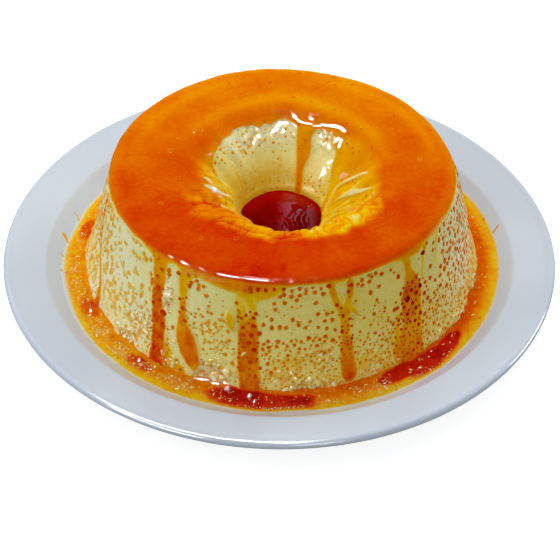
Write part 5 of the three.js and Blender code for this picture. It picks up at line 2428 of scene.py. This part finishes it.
class Crumbs:
    """Broken custard on the wall and in the pool, and the pool's bubbles."""

    def __init__(self, finishes: Finishes) -> None:
        """Remember the dish's materials."""
        self.finishes = finishes

    def on_wall(self) -> Piece:
        """Lay crumbs where the wall is torn.

        Returns:
            The crumbs.
        """
        columns, rows = 420, np.linspace(0.6, 6.2, 46)
        angle = np.repeat(np.arange(columns) / columns * 2 * np.pi, len(rows))
        row = np.tile(rows, columns)
        points = FORM.point(angle, row)
        crowd = FORM.broken(np.degrees(angle) + 90.0, points[:, 2])
        crowd = crowd * smooth(soft_noise(points, 6.0, 9, 2), -0.45, 0.0)
        faces = ring_faces(columns, len(rows), closed_rows=False)
        grains = Grains("custard_crumbs_on_wall", 0.42, 0.25, 1.2, 1.2, 0.55, 1.5, 11, (0.25, 1.0))
        return Scatter(grains, self.finishes.curd).lay(points, faces, np.clip(crowd, 0.0, 1.0))

    def _pool_ring(self, sunk: float) -> tuple[Array, list[tuple[int, int, int, int]], Array, Array, Array]:
        """Return a ring over the pool.

        Args:
            sunk: How far the ring lies under the pool's surface.

        Returns:
            Its points and faces, and each point's bearing from the front, distance
            inside the pool's edge and distance from the wall.
        """
        columns, shares = 480, np.linspace(0.02, 0.97, 14)
        angle = np.arange(columns) / columns * 2 * np.pi
        wall = FORM.point(angle, np.full(columns, 1.0), 0.2)
        around, inner = np.arctan2(wall[:, 1], wall[:, 0]), np.hypot(wall[:, 0], wall[:, 1])
        front = np.degrees(around) + 90.0
        edge = POOL.edge(front)
        radius = inner[:, None] + (edge - inner)[:, None] * shares[None, :]
        level = np.maximum(POOL.level, PLATE.top(radius.ravel()).reshape(radius.shape) + 0.25) - sunk
        points = circled(around[:, None], radius, level).reshape(-1, 3)
        faces = [tuple(reversed(face)) for face in ring_faces(columns, len(shares), closed_rows=False)]
        bearing = np.broadcast_to(front[:, None], radius.shape).ravel()
        return points, faces, bearing, (edge[:, None] - radius).ravel(), (radius - inner[:, None]).ravel()

    def in_pool(self) -> Piece:
        """Lay crumbs in the pool.

        Returns:
            The crumbs.
        """
        points, faces, front, away, _ = self._pool_ring(0.06)
        crowd = 0.06 + 0.9 * bump(turn(front, -52.0), 44.0) + 0.5 * bump(turn(front, -88.0), 24.0)
        crowd += 0.5 * bump(turn(front, 22.0), 16.0) + 0.45 * bump(turn(front, -24.0), 10.0)
        crowd += 0.3 * bump(turn(front, 150.0), 40.0)
        crowd *= smooth(away, 2.5, 6.5) * smooth(soft_noise(points, 5.0, 67, 2), -0.5, 0.2)
        grains = Grains("custard_crumbs_in_pool", 1.7, 0.15, 0.54, 1.5, 0.45, 0.9, 12, (0.4, 1.2))
        return Scatter(grains, self.finishes.curd).lay(points, faces, np.clip(crowd, 0.0, 1.0))

    def bubbles(self) -> Piece:
        """Lay bubbles along the pool's front edge and beside the wall.

        Returns:
            The bubbles.
        """
        points, faces, front, away, out = self._pool_ring(0.12)
        foam = bump(turn(front, -1.0), 24.0) * bump(away - 1.0, 1.1)
        foam += 0.3 * bump(turn(front, 30.0), 40.0) * bump(away - 3.0, 2.0) + 0.12 * bump(out - 1.5, 2.0)
        grains = Grains("caramel_bubbles", 1.7, 0.16, 0.42, 1.0, 0.8, 0.0, 13, (0.0, 0.14))
        return Scatter(grains, self.finishes.bubble).lay(points, faces, np.clip(foam, 0.0, 1.0))


@dataclass
class Splashes:
    """Thin tails of caramel that reach out over the plate."""

    # Places of each tail: bearing from the front, distance from the axis, half width
    tails: Tables = (
        (
            (-99.9, 114.2, 1.0), (-99.6, 112.8, 1.1), (-98.0, 110.6, 0.5), (-96.3, 107.5, 0.5),
            (-95.5, 105.5, 0.5),
        ),
        ((-92.8, 113.2, 0.45), (-91.6, 110.2, 0.4), (-90.6, 106.6, 0.4), (-90.2, 103.6, 0.4)),
        ((-86.6, 111.8, 0.5), (-85.6, 109.9, 0.6), (-84.8, 107.6, 0.9), (-84.6, 106.6, 0.8)),
        ((-109.3, 114.0, 0.35), (-108.4, 111.6, 0.35), (-107.2, 108.9, 0.4), (-106.6, 107.2, 0.4)),
        ((104.0, 117.0, 0.5), (103.2, 115.2, 0.5), (102.6, 113.0, 0.6)),
    )
    sides: int = 8

    def build(self) -> Piece:
        """Build the tails as one piece.

        Returns:
            The tails.
        """
        points, faces = [], []
        for tail in self.tails:
            path = eased(tail)
            a = np.radians(path[:, 0] - 90.0)
            middle = circled(a, path[:, 1], 0.0)[:, :2]
            ahead = np.gradient(middle, axis=0)
            ahead /= np.linalg.norm(ahead, axis=1)[:, None]
            across = np.stack([-ahead[:, 1], ahead[:, 0]], axis=1)
            half = path[:, 2] * np.sqrt(np.clip(np.linspace(0.04, 6.0, len(path)), 0, 1))
            start = len(points)
            for k in range(len(path)):
                for q in range(self.sides):
                    t = 2 * math.pi * q / self.sides
                    spot = middle[k] + across[k] * half[k] * math.cos(t)
                    ground = float(PLATE.top(np.array([np.hypot(*spot)]))[0])
                    points.append((*spot, ground - 0.02 + max(0.0, math.sin(t)) * half[k] * 0.55))
            faces.extend(tube_faces(start, len(path), self.sides))
            faces.append(list(range(start, start + self.sides))[::-1])
            faces.append(list(range(len(points) - self.sides, len(points))))
        obj = new_object("caramel_splashes", np.array(points), faces)
        face_outward(obj)
        paint(obj, depth=0.3, specks=0.0, cover=1.0, wet=0.2)
        return obj


@dataclass
class BubbleRings:
    """Flat bubbles that burst on the top and left low rings."""

    sides: int = 24
    # Angle from +X, row and radius of each ring
    places: Table = (
        (148.2, 11.44, 1.5), (146.1, 11.76, 1.3), (157.9, 11.13, 1.4), (138.3, 12.3, 1.2),
        (168.4, 11.08, 1.7), (-169.6, 11.52, 1.6), (-154.1, 10.61, 1.4), (-112.9, 11.0, 1.5),
        (-34.8, 10.85, 1.5), (43.6, 12.05, 1.3), (69.9, 10.64, 1.4), (107.0, 10.77, 1.6), (6.9, 10.56, 1.4),
        (-125.8, 10.56, 1.3),
    )
    # Share of the radius, and rise
    outline: Table = (
        (1.12, -0.12), (1.0, 0.06), (0.86, 0.2), (0.72, 0.16), (0.5, 0.06), (0.25, 0.03),
    )

    def build(self) -> Piece:
        """Build the rings as one piece, each a shut dome with a dimple.

        Returns:
            The rings.
        """
        n, points, tones, faces = self.sides, [], [], []
        a = np.arange(n) * 2 * math.pi / n
        for degrees, row, radius in self.places:
            angle = np.array([math.radians(degrees)])
            here = FORM.point(angle, np.array([row]), 0.0, 0.3)
            film = FILM.at(angle, np.array([row]), here)
            middle = here[0] + np.array([0.0, 0.0, 0.03 + film.lift[0]])
            start = len(points)
            for share, rise in self.outline:
                uneven = 1.0 + 0.06 * np.sin(2 * a + degrees) + 0.03 * np.sin(5 * a + row * 9)
                wobble = radius * share * uneven
                points.extend(middle + circled(a, wobble, rise))
                tones.extend(np.full(n, film.depth[0] - 0.14 * (rise > 0.15)))
            points.append((middle[0], middle[1], middle[2] + 0.02))
            tones.append(float(film.depth[0]))
            rings = len(self.outline)
            faces.extend(tube_faces(start, rings, n))
            last = start + (rings - 1) * n
            faces.extend((last + q, last + (q + 1) % n, last + n) for q in range(n))
            faces.append(list(range(start, start + n))[::-1])
        obj = new_object("caramel_bubble_rings", np.array(points, float), faces)
        paint(obj, depth=np.array(tones), specks=0.0, cover=1.0, wet=0.2, warm=0.3)
        return obj


# ---------------------------------------------------------------- stage


class Sees(Enum):
    """What a light is for: even light, or highlights on wet surfaces."""

    EVEN = "even"
    SHINE = "shine"


@dataclass(frozen=True)
class Softbox:
    """A square light that looks at the dish.

    Attributes:
        name: Its name.
        place: Where it stands, in metres.
        size: Its two sides, in metres.
        power: Its power, in watts.
        use: What it is for.
        colour: Its colour.
        aim: Where it looks.
    """

    name: str
    place: tuple[float, float, float]
    size: tuple[float, float]
    power: float
    use: Sees
    colour: tuple[float, float, float] = (1.0, 1.0, 1.0)
    aim: tuple[float, float, float] = (0.0, 0.0, 0.03)

    def hang(self) -> None:
        """Put the light in the scene."""
        data = bpy.data.lights.new(self.name, "AREA")
        data.shape = "RECTANGLE"
        data.size, data.size_y = self.size
        data.energy = self.power
        data.color = self.colour
        obj = bpy.data.objects.new(self.name, data)
        obj.location = self.place
        obj.rotation_euler = (Vector(self.aim) - Vector(self.place)).to_track_quat("-Z", "Y").to_euler()
        obj.visible_glossy = self.use is Sees.SHINE
        obj.visible_diffuse = self.use is Sees.EVEN
        bpy.context.scene.collection.objects.link(obj)


@dataclass(frozen=True)
class Studio:
    """Camera, lights, floor and surroundings.

    The camera's place is in millimetres and its turns are in radians. The last three
    numbers are how bright the surroundings are for even light, in mirrored light and
    where the camera sees them.
    """

    camera_place: tuple[float, float, float] = (3.176, -971.04, 840.92)
    pitch: float = 0.71468
    yaw: float = -0.00286
    roll: float = -0.010005
    lens: float = 160.714
    floor_size: float = 6.0
    paper: tuple[float, float, float, float] = (0.34, 0.34, 0.34, 1.0)
    paper_glow: float = 0.86
    sky: tuple[float, float, float, float] = (0.93, 0.96, 1.0, 1.0)
    boxes: tuple[Softbox, ...] = (
        Softbox("overhead", (0.0, 0.5, 0.9), (0.9, 0.5), 4.0, Sees.EVEN),
        Softbox("left", (-1.0, -0.25, 0.5), (0.5, 0.8), 3.0, Sees.EVEN, (0.97, 0.99, 1.0)),
        Softbox("rim_strip", (-0.49, -0.17, 1.0), (0.92, 0.1), 42.0, Sees.SHINE, aim=(-0.49, 0.0, 0.03)),
        Softbox("right_strip", (0.8, 0.0, 0.62), (0.3, 0.03), 0.3, Sees.SHINE),
        Softbox("top_card", (0.05, -0.33, 0.95), (0.12, 0.07), 5.0, Sees.SHINE),
        Softbox("front_card", (0.3, -1.15, 0.3), (0.35, 0.12), 6.0, Sees.SHINE, (0.86, 0.93, 1.0)),
        Softbox("low_right", (1.0, 0.2, 0.16), (0.4, 0.24), 9.0, Sees.SHINE, (0.74, 0.85, 1.0)),
        Softbox("front_left", (-0.75, -0.8, 0.3), (0.7, 0.3), 22.0, Sees.SHINE),
        Softbox("window", (0.02, 0.80, 0.70), (0.07, 0.05), 0.016, Sees.SHINE, (0.8, 0.72, 1.0)),
        Softbox("lip_card", (0.0, 0.14, 1.0), (0.2, 0.12), 7.0, Sees.SHINE, (1.0, 0.95, 0.92)),
        Softbox("right_fill", (0.9, 0.9, 0.45), (0.5, 0.4), 3.2, Sees.EVEN),
    )
    daylight: float = 0.64
    mirrored: float = 0.012
    horizon: float = 0.9

    def aim_camera(self) -> None:
        """Set the camera where the dish is seen from."""
        cp, sp = math.cos(self.pitch), math.sin(self.pitch)
        forward = Vector((math.sin(self.yaw) * cp, math.cos(self.yaw) * cp, -sp))
        right = Vector((math.cos(self.yaw), -math.sin(self.yaw), 0.0))
        up = right.cross(forward)
        c, s = math.cos(self.roll), math.sin(self.roll)
        across, upward = right * c - up * s, right * s + up * c
        data = bpy.data.cameras.new("camera")
        data.sensor_width = 36.0
        data.lens = self.lens
        data.clip_end = 20.0
        camera = bpy.data.objects.new("camera", data)
        place = Vector(self.camera_place) * MM
        camera.matrix_world = Matrix((
            (across.x, upward.x, -forward.x, place.x),
            (across.y, upward.y, -forward.y, place.y),
            (across.z, upward.z, -forward.z, place.z),
            (0.0, 0.0, 0.0, 1.0),
        ))
        bpy.context.scene.collection.objects.link(camera)
        bpy.context.scene.camera = camera

    def lay_floor(self) -> None:
        """Lay the pale floor."""
        size = self.floor_size
        mesh = bpy.data.meshes.new("floor")
        corners = [(-size, -size, 0), (size, -size, 0), (size, size, 0), (-size, size, 0)]
        mesh.from_pydata(corners, [], [(0, 1, 2, 3)])
        floor = bpy.data.objects.new("floor", mesh)
        bpy.context.scene.collection.objects.link(floor)
        material = bpy.data.materials.new("floor_paper")
        material.use_nodes = True
        write = Writer(material.node_tree)
        matte = write.node("ShaderNodeBsdfDiffuse")
        write.feed(matte, Color=self.paper)
        bright = write.node("ShaderNodeEmission")
        write.feed(bright, Strength=self.paper_glow)
        seen = write.node("ShaderNodeLightPath")
        dark = write.node("ShaderNodeEmission")
        write.feed(dark, Strength=0.0)
        glow = write.node("ShaderNodeMixShader")
        write.join(seen.outputs["Is Camera Ray"], glow.inputs[0])
        write.join(dark.outputs[0], glow.inputs[1])
        write.join(bright.outputs[0], glow.inputs[2])
        both = write.node("ShaderNodeAddShader")
        write.join(glow.outputs[0], both.inputs[0])
        write.join(matte.outputs[0], both.inputs[1])
        output = write.node("ShaderNodeOutputMaterial")
        write.feed(output, Surface=both.outputs[0])
        mesh.materials.append(material)

    def light(self) -> None:
        """Hang the lights and set the surroundings."""
        for box in self.boxes:
            box.hang()
        world = bpy.data.worlds.new("surroundings")
        world.use_nodes = True
        write = Writer(world.node_tree)
        back = write.node("ShaderNodeBackground")
        write.feed(back, Color=self.sky)
        seen = write.node("ShaderNodeLightPath")
        even = write.remap(seen.outputs["Is Camera Ray"], 0.0, 1.0, self.daylight, self.horizon)
        strength = write.remap(seen.outputs["Is Glossy Ray"], 0.0, 1.0, even, self.mirrored)
        write.feed(back, Strength=strength)
        output = write.node("ShaderNodeOutputWorld")
        write.feed(output, Surface=back.outputs[0])
        bpy.context.scene.world = world
        bpy.context.scene.view_settings.view_transform = "Standard"

    def set_up(self) -> None:
        """Set up the whole studio."""
        self.aim_camera()
        self.lay_floor()
        self.light()


# ---------------------------------------------------------------- the dish


def wear(obj: Piece, material: Material) -> Piece:
    """Give a piece its material.

    Args:
        obj: The piece.
        material: Its material.

    Returns:
        The same piece.
    """
    obj.data.materials.clear()
    obj.data.materials.append(material)
    return obj


def main() -> None:
    """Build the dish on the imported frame."""
    Studio().set_up()
    finishes = Finishes(Tones())
    settle(wear(PLATE.build(), finishes.glaze), "white_glaze", "plate")
    pits = Pits()
    places = pits.places()
    settle(wear(Custard().build(places), finishes.custard), "custard", "flan")
    settle(wear(CaramelTop().build(), finishes.caramel), "caramel", "caramel_top")
    settle(wear(pits.build(places), finishes.pit), "caramel")
    settle(wear(POOL.build(), finishes.sauce), "dark_caramel", "caramel_pool")
    settle(wear(HolePool().build(), finishes.still), "dark_caramel", "caramel_in_hole")
    crumbs = Crumbs(finishes)
    settle(crumbs.on_wall(), "custard")
    settle(crumbs.in_pool(), "custard")
    settle(crumbs.bubbles(), "caramel")
    settle(wear(Splashes().build(), finishes.sauce), "caramel")
    settle(wear(BubbleRings().build(), finishes.caramel), "caramel")


if __name__ == "__main__":
    main()
